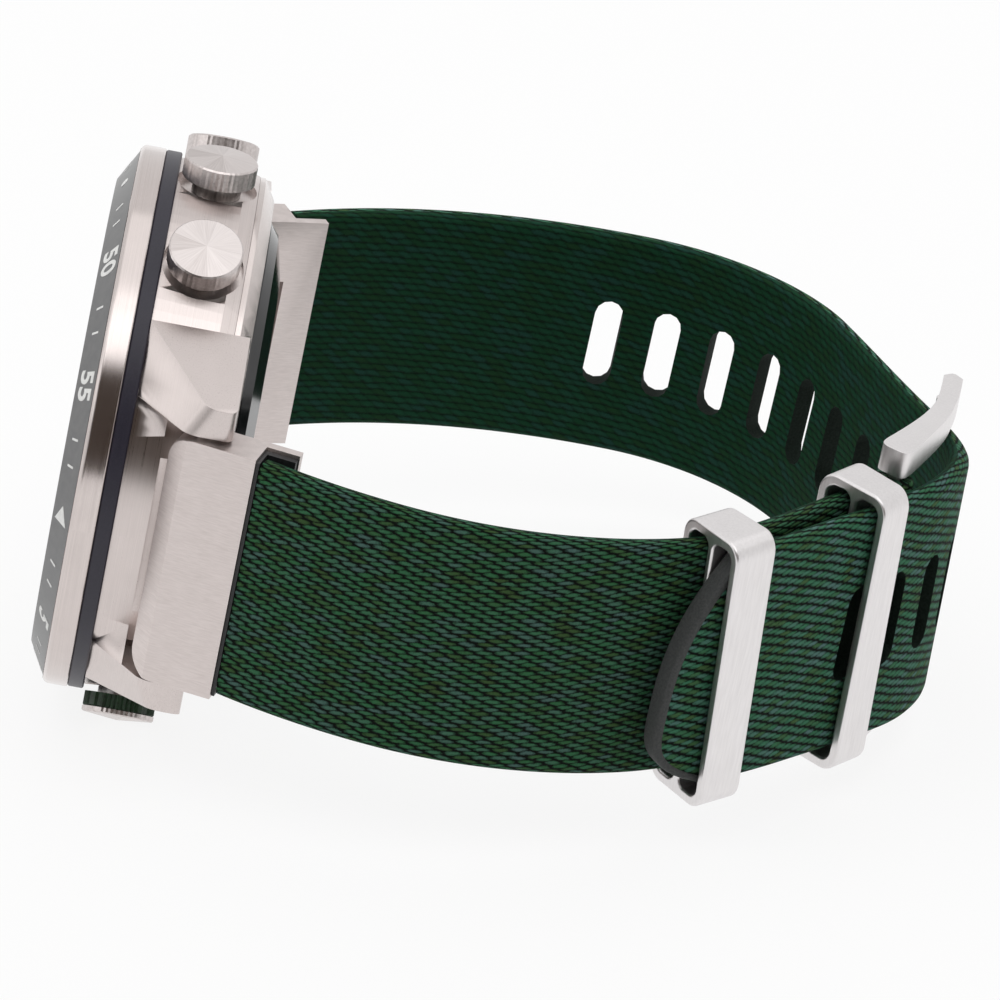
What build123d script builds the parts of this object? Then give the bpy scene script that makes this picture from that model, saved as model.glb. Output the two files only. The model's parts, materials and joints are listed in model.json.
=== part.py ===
from build123d import *
import os
from math import atan2, cos, degrees, radians, sin, sqrt

# Wrist watch with five pushers and a buckled woven strap, lying on its side.
#
# Every piece is modelled in the watch frame: X runs along the case axis from the dial
# to the back, Y from 12 o'clock to 6 o'clock, Z towards 9 o'clock, and X is 0 where the
# bezel meets the isolating ring.  At the end all pieces are laid down together, so that
# the watch rests on the two lower pushers and the lower arm of the buckle.
# All sizes are in millimetres and degrees.

# Watch body, stacked along X
case_diameter = 46.0
bezel_height = 2.15
inlay_rise = 1.5
isolating_height = 1.35
mid_height = 6.75
cover_height = 1.5
window_rise = 1.7

# Watch body, radial
mid_step = 0.5
case_wall = 2.2
inlay_band = 2.7
crystal_rebate = 1.2
seam_bevel = 0.35
back_border = 3.6
back_ledge = 3.5
screw_radius = 0.5
screw_head_radius = 0.9
screw_post_radius = 1.5
screw_length = 2.4
crystal_thickness = 1.75
crystal_edge_gap = 0.3
flange_depth = 0.6
deck_thickness = 0.6
board_thickness = 0.8
chip_height = 0.6
battery_width = 22.0
battery_corner = 1.5
motor_radius = 1.8
motor_shaft_radius = 0.4
motor_length = 9.0
weight_radius = 1.7
weight_length = 2.8
contact_radius = 0.52
contact_pitch = 2.0
contact_count = 4
seat = 0.02
running = 0.03

# Lugs and the pins between them
lug_gap = 22.2
horn_width = 2.5
horn_reach = 2.7
horn_start = 45.0
pin_radius = 0.8
pin_inset = 1.4
pin_from_seam = 0.8

# Pushers: angle from 9 o'clock towards 12 o'clock
pusher_spread = 29.0
pushers = {
    "up": 0.0,
    "light": pusher_spread,
    "down": -pusher_spread,
    "start": 180.0 - pusher_spread,
    "back": 180.0 + pusher_spread,
}
cap_radius = 3.05
cap_height = 1.75
cap_crown = 0.25
cap_lift = 0.5
cap_travel = 0.8
cap_wall = 0.35
cap_roof = 0.65
accent_wall = 0.5
well_gap = 0.3
well_depth = 0.8
stem_radius = 0.8
stem_head_radius = 1.3
stem_head_height = 0.7
spring_wall = 0.34
spring_gap = 0.15
spring_clearance = 0.08

# Links that hold the strap to the lugs
near_tilt = 14.0
far_tilt = 22.0
link_side_gap = 0.3
link_front = 2.05
link_back = 1.9
link_length = 4.8
tail_length = 7.6
link_nose = 2.55
link_nose_round = 2.2
liner_lip = 0.3
liner_plate = 0.7
latch_travel = 1.6
latch_length = 3.55
latch_width = 9.96
catch_width = 5.0
latch_depth = 0.66
latch_gap = 0.07
tab_start = 1.8
tab_inner = 0.67
tab_outer = 0.68
tab_inset = 0.55
tab_gap = 0.08
strap_line = 0.9
strap_bar_line = 0.47
strap_bar_radius = 0.37

# Strap
strap_inset = 0.3
strap_thickness = 1.8
layer_gap = 1.3
near_bend = 12.0
far_bend = 12.0
short_arcs = [(12.0, 14.5), (12.0, 21.5), (12.0, 20.0), (12.0, 15.5), (10.2, 3.5)]
heel_radius = 18.8
shoulder_radius = 19.5
shoulder_turn = 62.0
far_radius = 52.5
far_turn = 36.0
tip_station = 33.6
tip_sagitta = 6.0
binding_width = 1.0
slot_width = 2.6
slot_pitch = 5.6
slots_behind = 5
slots_ahead = 8
slot_at_tongue = 19.1

# Keepers
keeper_length = 3.8
keeper_wall = 0.95
keeper_web = 0.7
keeper_play = 0.3
keeper_end_gap = 0.75
keeper_round = 1.7
keepers = {"keeper_near": (39.5, 5.5), "keeper_far": (54.3, 3.0)}

# Buckle
buckle_pin_radius = 0.8
eye_wall = 1.1
arm_thickness = 2.2
arm_gap = 0.6
arm_wall = 1.2
bar_radius = 1.0
bar_reach = 22.8
bar_gap = 0.4
tongue_width = 7.4
tongue_thickness = 1.0
tongue_clearance = 0.9
tongue_hub_inset = 0.3
tongue_side_gap = 0.45

# Stations and radii that follow
mid_x = isolating_height
seam_x = mid_x + mid_height
cover_x = seam_x + cover_height
back_x = cover_x + window_rise
bezel_x = -bezel_height
dial_x = bezel_x - inlay_rise
case_radius = case_diameter / 2
mid_radius = case_radius - mid_step
bore_radius = mid_radius - case_wall
inlay_outer = case_radius - 0.55
inlay_inner = inlay_outer - inlay_band
crystal_bore = inlay_inner - 0.15
dial_bore = crystal_bore - crystal_rebate
crystal_seat_x = dial_x + crystal_thickness
cover_radius = mid_radius - seam_bevel - 0.05
window_radius = cover_radius - back_border
screw_circle = window_radius + screw_head_radius + 0.15
link_flat = mid_radius - case_wall / 2
half_gap = lug_gap / 2
horn_reach_y = mid_radius + horn_reach
link_width = lug_gap - 2 * link_side_gap
strap_width = link_width - 2 * strap_inset
pin_x = seam_x - pin_from_seam
pin_y = horn_reach_y - pin_inset
pusher_x = seam_x - mid_height / 2 - 0.1
half_strap = strap_width / 2
layer_pitch = strap_thickness + layer_gap
tab_low = strap_bar_line - tab_inner
tab_high = strap_bar_line + tab_outer
tab_half = half_strap - tab_inset
latch_open = latch_length - pin_radius + latch_travel + 0.05
eye_radius = buckle_pin_radius + eye_wall
arm_root = buckle_pin_radius + arm_wall
slot_length = tongue_width + 2 * tongue_side_gap
keeper_height = strap_width + 2 * (keeper_end_gap + keeper_wall)


def half_section(*points):
    """A closed section in the XY plane, X along the case axis and Y the radius."""
    with BuildSketch(Plane.XY) as section:
        with BuildLine():
            Polyline(*points, close=True)
        make_face()
    return section.sketch


def ring_section(x_low, x_high, inner, outer):
    return half_section((x_low, inner), (x_low, outer), (x_high, outer), (x_high, inner))


# ---------------------------------------------------------------- strap routes


def walk(start, heading, arcs, distance):
    """Place and heading at a distance along a chain of (length, turn) arcs."""
    x, y = start
    for number, (length, turn) in enumerate(arcs):
        last = number == len(arcs) - 1
        step = distance if last else min(length, distance)
        if turn == 0:
            x += step * cos(radians(heading))
            y += step * sin(radians(heading))
        else:
            radius = length / radians(turn)
            angle = heading + degrees(step / radius)
            x += radius * (sin(radians(angle)) - sin(radians(heading)))
            y -= radius * (cos(radians(angle)) - cos(radians(heading)))
            heading = angle
        distance -= step
        if distance <= 0:
            break
    return x, y, heading


def offset_pose(pose, outward):
    """A pose moved to the right of its heading, which is outward on the near run."""
    x, y, heading = pose
    return x + outward * sin(radians(heading)), y - outward * cos(radians(heading)), heading


def pose_plane(pose, height=0.0):
    """Local x along the strap, local y outward, local z down the width."""
    x, y, heading = pose
    along = (cos(radians(heading)), sin(radians(heading)), 0)
    return Plane(origin=(x, y, height), x_dir=along, z_dir=(0, 0, -1))


def link_plane(side):
    """Plane of a link at its lug pin: local x along the strap, local y outward."""
    tilt = radians(near_tilt if side < 0 else far_tilt)
    return Plane(
        origin=(pin_x, side * pin_y, 0),
        x_dir=(cos(tilt), side * sin(tilt), 0),
        z_dir=(0, 0, side),
    )


def strap_root(side):
    """Middle of the strap's thickness where it leaves a link, clear of the liner's lip."""
    bend = near_bend if side < 0 else far_bend
    clear = 0.05 + strap_thickness / 2 * sin(radians(bend))
    mouth = link_plane(side).from_local_coords((link_length + liner_lip + clear, strap_line, 0))
    return mouth.X, mouth.Y


short_start = strap_root(-1)
short_heading = -near_tilt - near_bend
short_length = sum(length for length, turn in short_arcs)
buckle_station = short_length + eye_radius
buckle_pose = walk(short_start, short_heading, short_arcs, buckle_station)


def tail_arcs():
    """Arcs of the outer layer, concentric with the short strap from the tip to the pin."""
    arcs = []
    station = 0.0
    for number, (length, turn) in enumerate(short_arcs):
        end = station + length
        last = number == len(short_arcs) - 1
        stop = buckle_station if last else end
        part = stop - max(station, tip_station)
        if part > 0:
            bend = turn * part / length
            arcs.append((part + layer_pitch * radians(bend), bend))
        station = end
    return arcs


def closing_arcs(start, finish, finish_heading):
    """Heel, straight run, shoulder and far run that join the pin to the far link.

    Two straight runs take the lengths that make the ends meet.
    """
    x, y, heading = start
    heel_turn = finish_heading - heading - shoulder_turn - far_turn
    arcs = [
        (heel_radius * radians(heel_turn), heel_turn),
        (1.0, 0.0),
        (shoulder_radius * radians(shoulder_turn), shoulder_turn),
        (far_radius * radians(far_turn), far_turn),
        (1.0, 0.0),
    ]
    total = sum(length for length, turn in arcs)
    end_x, end_y, end_heading = walk((x, y), heading, arcs, total)
    miss_x = finish[0] - end_x
    miss_y = finish[1] - end_y
    first = radians(heading + heel_turn)
    second = radians(finish_heading)
    scale = cos(first) * sin(second) - sin(first) * cos(second)
    extra_first = (miss_x * sin(second) - miss_y * cos(second)) / scale
    extra_second = (miss_y * cos(first) - miss_x * sin(first)) / scale
    arcs[1] = (1.0 + extra_first, 0.0)
    arcs[4] = (1.0 + extra_second, 0.0)
    return arcs


tip_pose = offset_pose(walk(short_start, short_heading, short_arcs, tip_station), layer_pitch)
tail = tail_arcs()
tail_length_to_pin = sum(length for length, turn in tail)
over_pin = walk(tip_pose[:2], tip_pose[2], tail, tail_length_to_pin)
long_arcs = tail + closing_arcs(over_pin, strap_root(1), 180.0 + far_tilt + far_bend)


def on_short(station):
    return walk(short_start, short_heading, short_arcs, station)


def on_long(station):
    return walk(tip_pose[:2], tip_pose[2], long_arcs, station)


def band(start, heading, arcs, thickness, width):
    """A strap layer: its route traced to thickness and extruded to width about Z = 0."""
    with BuildPart() as layer:
        with BuildSketch(Plane.XY):
            with BuildLine():
                for number, (length, turn) in enumerate(arcs):
                    x, y, angle = walk(start, heading, arcs[: number + 1], 0)
                    done = sum(each for each, bend in arcs[:number])
                    x, y, angle = walk(start, heading, arcs, done)
                    along = (cos(radians(angle)), sin(radians(angle)))
                    if turn == 0:
                        PolarLine((x, y), length, direction=along)
                    else:
                        JernArc((x, y), along, length / abs(radians(turn)), turn)
            trace(line_width=thickness)
        extrude(amount=width / 2, both=True)
    return layer.part


tongue_station = tail_length_to_pin + slot_at_tongue
slot_stations = [
    tongue_station + slot_pitch * number for number in range(-slots_behind, slots_ahead + 1)
]
bar_pose = offset_pose(
    on_long(tail_length_to_pin + bar_reach), strap_thickness / 2 + bar_gap + bar_radius
)
arm_low = half_strap + arm_gap
arm_high = arm_low + arm_thickness

pieces = {}


# ---------------------------------------------------------------- case


def lug_horn():
    """One horn, at 6 o'clock on the 9 o'clock side."""
    top = horn_start
    shoulder_y = mid_radius * cos(radians(90 - top)) + 0.15
    shoulder_z = mid_radius * sin(radians(90 - top)) + 0.45
    root = sqrt((mid_radius - 1.2) ** 2 - half_gap**2)
    back_x_horn = seam_x + 1.3
    with BuildPart() as horn:
        with BuildSketch(Plane.YZ.offset(mid_x)):
            with BuildLine():
                Polyline(
                    (root, half_gap),
                    (horn_reach_y, half_gap),
                    (horn_reach_y, half_gap + horn_width),
                    (shoulder_y, shoulder_z),
                    (shoulder_y - 0.9, shoulder_z - 0.9),
                    close=True,
                )
            make_face()
        extrude(amount=back_x_horn - mid_x)
        wall_y = sqrt(mid_radius**2 - half_gap**2)
        slope_foot = Vector(mid_x, wall_y, half_gap)
        slope_tip = Vector(mid_x + 3.55, wall_y + 4.5, half_gap)
        slope_top = Vector(mid_x, wall_y - 3.3, half_gap + 5.2)
        facing = (slope_tip - slope_foot).cross(slope_top - slope_foot)
        split(bisect_by=Plane(origin=slope_foot, z_dir=facing), keep=Keep.TOP)
        tip_edges = horn.edges().filter_by(Axis.Z).group_by(Axis.Y)[-1]
        fillet(tip_edges, 0.7)
    return horn.part


def lug_gusset():
    """The facet between a horn's inner wall and the case wall, ahead of the link."""
    wall_y = sqrt(mid_radius**2 - half_gap**2)
    low_y = sqrt(mid_radius**2 - (half_gap - 2.5) ** 2)
    ahead = 2.7
    foot = Vector(mid_x, wall_y, half_gap)
    low = Vector(mid_x + ahead, low_y, half_gap - 2.5)
    high = Vector(mid_x + ahead, wall_y + 4.5 * ahead / 3.55, half_gap)
    facing = (low - foot).cross(high - foot)
    with BuildPart() as gusset:
        with BuildSketch(Plane.XY.offset(half_gap - 2.6)):
            with BuildLine():
                Polyline(
                    (mid_x, wall_y - 0.6),
                    (mid_x + ahead, wall_y - 0.6),
                    (mid_x + ahead, high.Y),
                    (mid_x, high.Y),
                    close=True,
                )
            make_face()
        extrude(amount=2.6 + 0.05)
        split(bisect_by=Plane(origin=foot, z_dir=facing), keep=Keep.TOP)
    return gusset.part


def pusher_plane(angle):
    """Plane across a pusher, at the case axis, facing outwards."""
    outward = (0, -sin(radians(angle)), cos(radians(angle)))
    return Plane(origin=(pusher_x, 0, 0), x_dir=(1, 0, 0), z_dir=outward)


def screw_points():
    return [
        (screw_circle * cos(radians(45 + 90 * turn)), screw_circle * sin(radians(45 + 90 * turn)))
        for turn in range(4)
    ]


well_radius = cap_radius + well_gap
well_floor = mid_radius - well_depth
cavity_radius = cap_radius - accent_wall - cap_wall
sleeve_radius = cavity_radius - spring_gap - spring_wall - spring_clearance

with BuildPart() as mid_case:
    revolve(
        half_section(
            (mid_x, bore_radius),
            (mid_x, mid_radius),
            (seam_x - 1.2, mid_radius),
            (seam_x, mid_radius - seam_bevel),
            (seam_x, bore_radius),
        ),
        axis=Axis.X,
    )
    with BuildSketch(Plane.YZ.offset(seam_x - 3.2)):
        with Locations(*screw_points()):
            Circle(screw_post_radius)
    extrude(amount=3.2)
    for piece in (lug_horn(), lug_gusset()):
        far_side = piece.mirror(Plane.XY)
        add([piece, far_side, piece.mirror(Plane.XZ), far_side.mirror(Plane.XZ)])
    # flats behind the links
    for side in (-1, 1):
        with BuildSketch(Plane.YZ.offset(mid_x + 2.7)):
            with Locations((side * (link_flat + 5), 0)):
                Rectangle(10, lug_gap)
        extrude(amount=10, mode=Mode.SUBTRACT)
    # room for the rear cover between the horns
    cover_room = ring_section(seam_x, seam_x + 3, 0, cover_radius + 0.1)
    revolve(cover_room, axis=Axis.X, mode=Mode.SUBTRACT)
    revolve(
        ring_section(seam_x - 0.42, seam_x + 1, bore_radius + 0.3, bore_radius + 0.85),
        axis=Axis.X,
        mode=Mode.SUBTRACT,
    )
    with BuildSketch(Plane.YZ.offset(seam_x - 2.8)):
        with Locations(*screw_points()):
            Circle(screw_radius + running)
    extrude(amount=4, mode=Mode.SUBTRACT)
    for angle in pushers.values():
        with BuildSketch(pusher_plane(angle).offset(well_floor)):
            Circle(well_radius)
        extrude(amount=6, mode=Mode.SUBTRACT)
        with BuildSketch(pusher_plane(angle).offset(bore_radius - 2)):
            Circle(sleeve_radius + seat)
        extrude(amount=6, mode=Mode.SUBTRACT)
    for side in (-1, 1):
        with BuildSketch(Plane.XY.offset(-half_gap - horn_width + 0.9)):
            with Locations((pin_x, side * pin_y)):
                Circle(pin_radius + seat)
        extrude(amount=lug_gap + 2 * horn_width - 1.8, mode=Mode.SUBTRACT)
pieces["mid_case"] = mid_case.part

with BuildPart() as isolating_ring:
    revolve(ring_section(0, mid_x, dial_bore + 0.6, case_radius - 0.08), axis=Axis.X)
    chamfer(isolating_ring.edges().group_by(SortBy.LENGTH)[-1], 0.12)
pieces["isolating_ring"] = isolating_ring.part

with BuildPart() as bezel_ring:
    revolve(
        half_section(
            (0, dial_bore),
            (0, case_radius),
            (bezel_x + 0.3, case_radius),
            (bezel_x, case_radius - 0.3),
            (bezel_x, inlay_outer + 0.05),
            (bezel_x + 0.95, inlay_outer + 0.05),
            (dial_x + 0.95, inlay_inner - 0.03),
            (dial_x + 0.95, crystal_bore),
            (crystal_seat_x, crystal_bore),
            (crystal_seat_x, dial_bore),
        ),
        axis=Axis.X,
    )
pieces["bezel_ring"] = bezel_ring.part

with BuildPart() as bezel_inlay:
    revolve(
        half_section(
            (bezel_x, inlay_outer),
            (dial_x, inlay_inner),
            (dial_x + 0.9, inlay_inner),
            (bezel_x + 0.9, inlay_outer),
        ),
        axis=Axis.X,
    )
pieces["bezel_inlay"] = bezel_inlay.part

with BuildPart() as crystal:
    revolve(
        ring_section(dial_x, crystal_seat_x - seat, 0, crystal_bore - crystal_edge_gap), axis=Axis.X
    )
    chamfer(crystal.edges().group_by(Axis.X)[0], 0.25)
pieces["crystal"] = crystal.part

with BuildPart() as crystal_gasket:
    revolve(
        ring_section(
            dial_x + 0.45,
            crystal_seat_x - seat,
            crystal_bore - crystal_edge_gap + seat,
            crystal_bore - seat,
        ),
        axis=Axis.X,
    )
pieces["crystal_gasket"] = crystal_gasket.part

flange_x = crystal_seat_x + seat
display_x = flange_x + flange_depth
with BuildPart() as dial_flange:
    revolve(
        half_section(
            (flange_x, dial_bore - 2.4),
            (flange_x, dial_bore - 0.1),
            (display_x, dial_bore - 0.1),
            (display_x, dial_bore - 3.2),
        ),
        axis=Axis.X,
    )
pieces["dial_flange"] = dial_flange.part

with BuildPart() as display_module:
    revolve(ring_section(display_x + seat, -0.3, 0, dial_bore - 0.15), axis=Axis.X)
pieces["display_module"] = display_module.part


# ---------------------------------------------------------------- inside the case

deck_x = mid_x + deck_thickness
pocket_radius = bore_radius - 1.3
with BuildPart() as chassis:
    revolve(
        half_section(
            (-0.28, 0),
            (-0.28, dial_bore - 0.2),
            (mid_x + 0.05, dial_bore - 0.2),
            (mid_x + 0.05, bore_radius - 0.15),
            (seam_x - 0.85, bore_radius - 0.15),
            (seam_x - 0.85, pocket_radius),
            (deck_x, pocket_radius),
            (deck_x, 0),
        ),
        axis=Axis.X,
    )
    with BuildSketch(Plane.YZ.offset(seam_x - 3.4)):
        with Locations(*screw_points()):
            Circle(screw_post_radius + 0.2)
    extrude(amount=4, mode=Mode.SUBTRACT)
    for angle in pushers.values():
        with BuildSketch(pusher_plane(angle).offset(pocket_radius - 1.5)):
            Circle(max(sleeve_radius, stem_head_radius) + 0.15)
        extrude(amount=4, mode=Mode.SUBTRACT)
pieces["chassis"] = chassis.part

board_x = deck_x + 0.1
board_radius = pocket_radius - 2.2
with BuildPart() as circuit_board:
    revolve(ring_section(board_x, board_x + board_thickness, 0, board_radius), axis=Axis.X)
    with BuildSketch(Plane.YZ.offset(board_x + board_thickness)):
        with GridLocations(7.5, 7.0, 3, 3):
            Rectangle(4.5, 3.6)
    extrude(amount=chip_height)
pieces["circuit_board"] = circuit_board.part

battery_x = board_x + board_thickness + chip_height + 0.2
battery_low = -pocket_radius + 6.4
battery_high = pocket_radius - 10.4
with BuildPart() as battery:
    with BuildSketch(Plane.YZ.offset(battery_x)):
        with Locations((0, (battery_low + battery_high) / 2)):
            RectangleRounded(battery_width, battery_high - battery_low, battery_corner)
    extrude(amount=seam_x - 1.1 - battery_x)
pieces["battery"] = battery.part

motor_x = battery_x + motor_radius + 0.1
motor_z = battery_high + motor_radius + 0.8
with BuildPart() as motor:
    with BuildSketch(Plane.XZ.offset(-7)):
        with Locations((motor_x, motor_z)):
            Circle(motor_radius)
    extrude(amount=motor_length)
    with BuildSketch(Plane.XZ.offset(motor_length - 7)):
        with Locations((motor_x, motor_z)):
            Circle(motor_shaft_radius)
    extrude(amount=3.6)
pieces["motor"] = motor.part

with BuildPart() as motor_weight:
    with BuildSketch(Plane.XZ.offset(motor_length - 6.6)):
        with BuildLine():
            CenterArc((motor_x, motor_z), weight_radius, 180, 180)
            Polyline(
                (motor_x + weight_radius, motor_z),
                (motor_x + 0.9, motor_z + 0.9),
                (motor_x - 0.9, motor_z + 0.9),
                (motor_x - weight_radius, motor_z),
            )
        make_face()
        with Locations((motor_x, motor_z)):
            Circle(motor_shaft_radius + running, mode=Mode.SUBTRACT)
    extrude(amount=weight_length)
pieces["motor_weight"] = motor_weight.part


# ---------------------------------------------------------------- case back

window_seat_x = seam_x + 1.0
opening_radius = window_radius - back_ledge
with BuildPart() as rear_cover:
    revolve(
        half_section(
            (seam_x - 0.7, bore_radius - 1.0),
            (seam_x - 0.7, bore_radius - 0.1),
            (seam_x + seat, bore_radius - 0.1),
            (seam_x + seat, cover_radius),
            (seam_x + 0.5, cover_radius),
            (cover_x, window_radius + 1.9),
            (cover_x, window_radius + 0.05),
            (window_seat_x, window_radius + 0.05),
            (window_seat_x, opening_radius),
            (seam_x + seat, opening_radius),
            (seam_x + seat, bore_radius - 1.0),
        ),
        axis=Axis.X,
    )
    for side in (-1, 1):
        with BuildSketch(Plane.YZ.offset(seam_x - 1)):
            with Locations((side * (link_flat + 5), 0)):
                Rectangle(10, lug_gap)
        extrude(amount=10, mode=Mode.SUBTRACT)
    with BuildSketch(Plane.YZ.offset(seam_x - 1)):
        with Locations(*screw_points()):
            Circle(screw_post_radius + 0.2)
    extrude(amount=1 + seat, mode=Mode.SUBTRACT)
    with BuildSketch(Plane.YZ.offset(seam_x - 1)):
        with Locations(*screw_points()):
            Circle(screw_radius + running)
    extrude(amount=4, mode=Mode.SUBTRACT)
    with BuildSketch(Plane.YZ.offset(cover_x - 0.55)):
        with Locations(*screw_points()):
            Circle(screw_head_radius + 0.05)
    extrude(amount=2, mode=Mode.SUBTRACT)
pieces["rear_cover"] = rear_cover.part

with BuildPart() as rear_gasket:
    revolve(
        ring_section(seam_x - 0.38, seam_x, bore_radius + 0.35, bore_radius + 0.8), axis=Axis.X
    )
pieces["rear_gasket"] = rear_gasket.part

with BuildPart() as rear_screws:
    with BuildSketch(Plane.YZ.offset(cover_x - 0.53)):
        with Locations(*screw_points()):
            Circle(screw_head_radius)
    extrude(amount=0.5)
    with BuildSketch(Plane.YZ.offset(seam_x - screw_length)):
        with Locations(*screw_points()):
            Circle(screw_radius)
    extrude(amount=cover_x - 0.5 - seam_x + screw_length)
    with BuildSketch(Plane.YZ.offset(cover_x - 0.33)):
        with Locations(*screw_points()):
            RegularPolygon(screw_head_radius - 0.4, 6)
    extrude(amount=1, mode=Mode.SUBTRACT)
pieces["rear_screws"] = rear_screws.part

contact_start = -contact_pitch * (contact_count - 1) / 2
contact_points = [
    (contact_start + contact_pitch * number, -window_radius + 6.0) for number in range(contact_count)
]
with BuildPart() as rear_window:
    revolve(
        half_section(
            (window_seat_x + seat, 0),
            (window_seat_x + seat, window_radius),
            (cover_x + 0.15, window_radius),
            (cover_x + 0.9, window_radius - 0.9),
            (back_x, window_radius - 4.5),
            (back_x, 0),
        ),
        axis=Axis.X,
    )
    with BuildSketch(Plane.YZ.offset(window_seat_x)):
        with Locations(*contact_points):
            Circle(contact_radius + running)
    extrude(amount=5, mode=Mode.SUBTRACT)
pieces["rear_window"] = rear_window.part

with BuildPart() as charge_contacts:
    with BuildSketch(Plane.YZ.offset(window_seat_x + seat)):
        with Locations(*contact_points):
            Circle(contact_radius)
    extrude(amount=back_x - window_seat_x - 0.1)
pieces["charge_contacts"] = charge_contacts.part

with BuildPart() as sensor_board:
    revolve(ring_section(window_seat_x - 0.7, window_seat_x, 0, opening_radius - 0.2), axis=Axis.X)
    with BuildSketch(Plane.YZ.offset(window_seat_x - 1.3)):
        with PolarLocations(3.5, 3):
            Rectangle(2.4, 2.4)
    extrude(amount=0.6)
pieces["sensor_board"] = sensor_board.part


# ---------------------------------------------------------------- pushers

cap_base = mid_radius + cap_lift
cap_top = cap_base + cap_height
cavity_top = cap_base + cap_height - cap_roof
sleeve_top = well_floor + 0.6
stem_top = cap_top - 0.25
head_top = pocket_radius - 0.9


def pusher_cap(angle, skirt):
    """Cap with a low crown, hollow underneath for its spring."""
    plane = pusher_plane(angle)
    with BuildPart() as cap:
        with BuildSketch(plane.offset(cap_base)):
            Circle(skirt)
        extrude(amount=cap_height)
        with BuildSketch(plane.offset(cap_top - 0.45)):
            Circle(cap_radius)
        extrude(amount=0.45)
        with Locations(plane.offset(cap_top).location):
            Cone(cap_radius - 0.12, 0.2, cap_crown, align=(Align.CENTER, Align.CENTER, Align.MIN))
        with BuildSketch(plane.offset(cap_base)):
            Circle(cavity_radius)
        extrude(amount=cavity_top - cap_base, mode=Mode.SUBTRACT)
        with BuildSketch(plane.offset(cap_base)):
            Circle(stem_radius + seat)
        extrude(amount=stem_top + seat - cap_base, mode=Mode.SUBTRACT)
    return cap.part


def pusher_stem(angle):
    """Stem with a head that stops it against the sleeve."""
    plane = pusher_plane(angle)
    with BuildPart() as stem:
        with BuildSketch(plane.offset(head_top - stem_head_height)):
            Circle(stem_head_radius)
        extrude(amount=stem_head_height)
        with BuildSketch(plane.offset(head_top)):
            Circle(stem_radius)
        extrude(amount=stem_top - head_top)
    return stem.part


accent_inner = cap_radius - accent_wall
for name, angle in pushers.items():
    skirt = accent_inner - seat if name == "start" else cap_radius
    pieces["cap_" + name] = pusher_cap(angle, skirt)
    pieces["stem_" + name] = pusher_stem(angle)

with BuildPart() as accent_ring:
    plane = pusher_plane(pushers["start"])
    with BuildSketch(plane.offset(cap_base)):
        Circle(cap_radius)
        Circle(accent_inner, mode=Mode.SUBTRACT)
    extrude(amount=cap_height - 0.45 - seat)
pieces["accent_ring"] = accent_ring.part

with BuildPart() as pusher_sleeves:
    for angle in pushers.values():
        with BuildSketch(pusher_plane(angle).offset(head_top + 0.05)):
            Circle(sleeve_radius)
            Circle(stem_radius + running, mode=Mode.SUBTRACT)
        extrude(amount=sleeve_top - head_top - 0.05)
pieces["pusher_sleeves"] = pusher_sleeves.part

with BuildPart() as pusher_springs:
    for angle in pushers.values():
        with BuildSketch(pusher_plane(angle).offset(well_floor + seat)):
            Circle(cavity_radius - spring_gap)
            Circle(sleeve_radius + spring_clearance, mode=Mode.SUBTRACT)
        extrude(amount=cavity_top - cap_travel - 0.1 - well_floor)
pieces["pusher_springs"] = pusher_springs.part


# ---------------------------------------------------------------- links

strap_bar_u = tab_start + 1.2


def link(side):
    """Link that closes round the lug pin and takes the strap's end."""
    plane = link_plane(side)
    half = link_width / 2
    with BuildPart() as body:
        with BuildSketch(plane.offset(-half)):
            with BuildLine():
                Polyline(
                    (-link_nose, -0.5),
                    (-link_nose, 0.9),
                    (-1.0, link_front),
                    (link_length, link_front),
                    (link_length, -1.0),
                    (tail_length, -1.0),
                    (tail_length, -link_back),
                    (-1.1, -link_back),
                    close=True,
                )
            make_face()
        extrude(amount=link_width)
        nose = body.faces().sort_by(Axis(plane.origin, plane.x_dir))[0]
        fillet(nose.edges().filter_by(Axis(plane.origin, plane.y_dir)), link_nose_round)
        # socket for the strap's tab
        with BuildSketch(plane.offset(-tab_half - 0.15)):
            with BuildLine():
                Polyline(
                    (tab_start - 0.1, tab_low - tab_gap),
                    (tab_start - 0.1, tab_high + tab_gap),
                    (link_length + 1, tab_high + tab_gap),
                    (link_length + 1, tab_low - tab_gap),
                    close=True,
                )
            make_face()
        extrude(amount=2 * tab_half + 0.3, mode=Mode.SUBTRACT)
        # eye for the lug pin, and its mouth
        with BuildSketch(plane.offset(-half)):
            Circle(pin_radius + running)
            with Locations((0, -link_back / 2)):
                Rectangle(2 * (pin_radius + running), link_back)
        extrude(amount=link_width, mode=Mode.SUBTRACT)
        # channel of the latch
        channel_start = -pin_radius - 0.1
        channel_depth = latch_depth + 2 * latch_gap
        with BuildSketch(plane.offset(-latch_width / 2 - latch_gap)):
            with Locations(((latch_open + channel_start) / 2, -link_back + channel_depth / 2)):
                Rectangle(latch_open - channel_start, channel_depth)
        extrude(amount=latch_width + 2 * latch_gap, mode=Mode.SUBTRACT)
        # hole for the strap bar
        with BuildSketch(plane.offset(-half + 0.3)):
            with Locations((strap_bar_u, strap_bar_line)):
                Circle(strap_bar_radius + running)
        extrude(amount=link_width - 0.6, mode=Mode.SUBTRACT)
    return body.part


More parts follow.
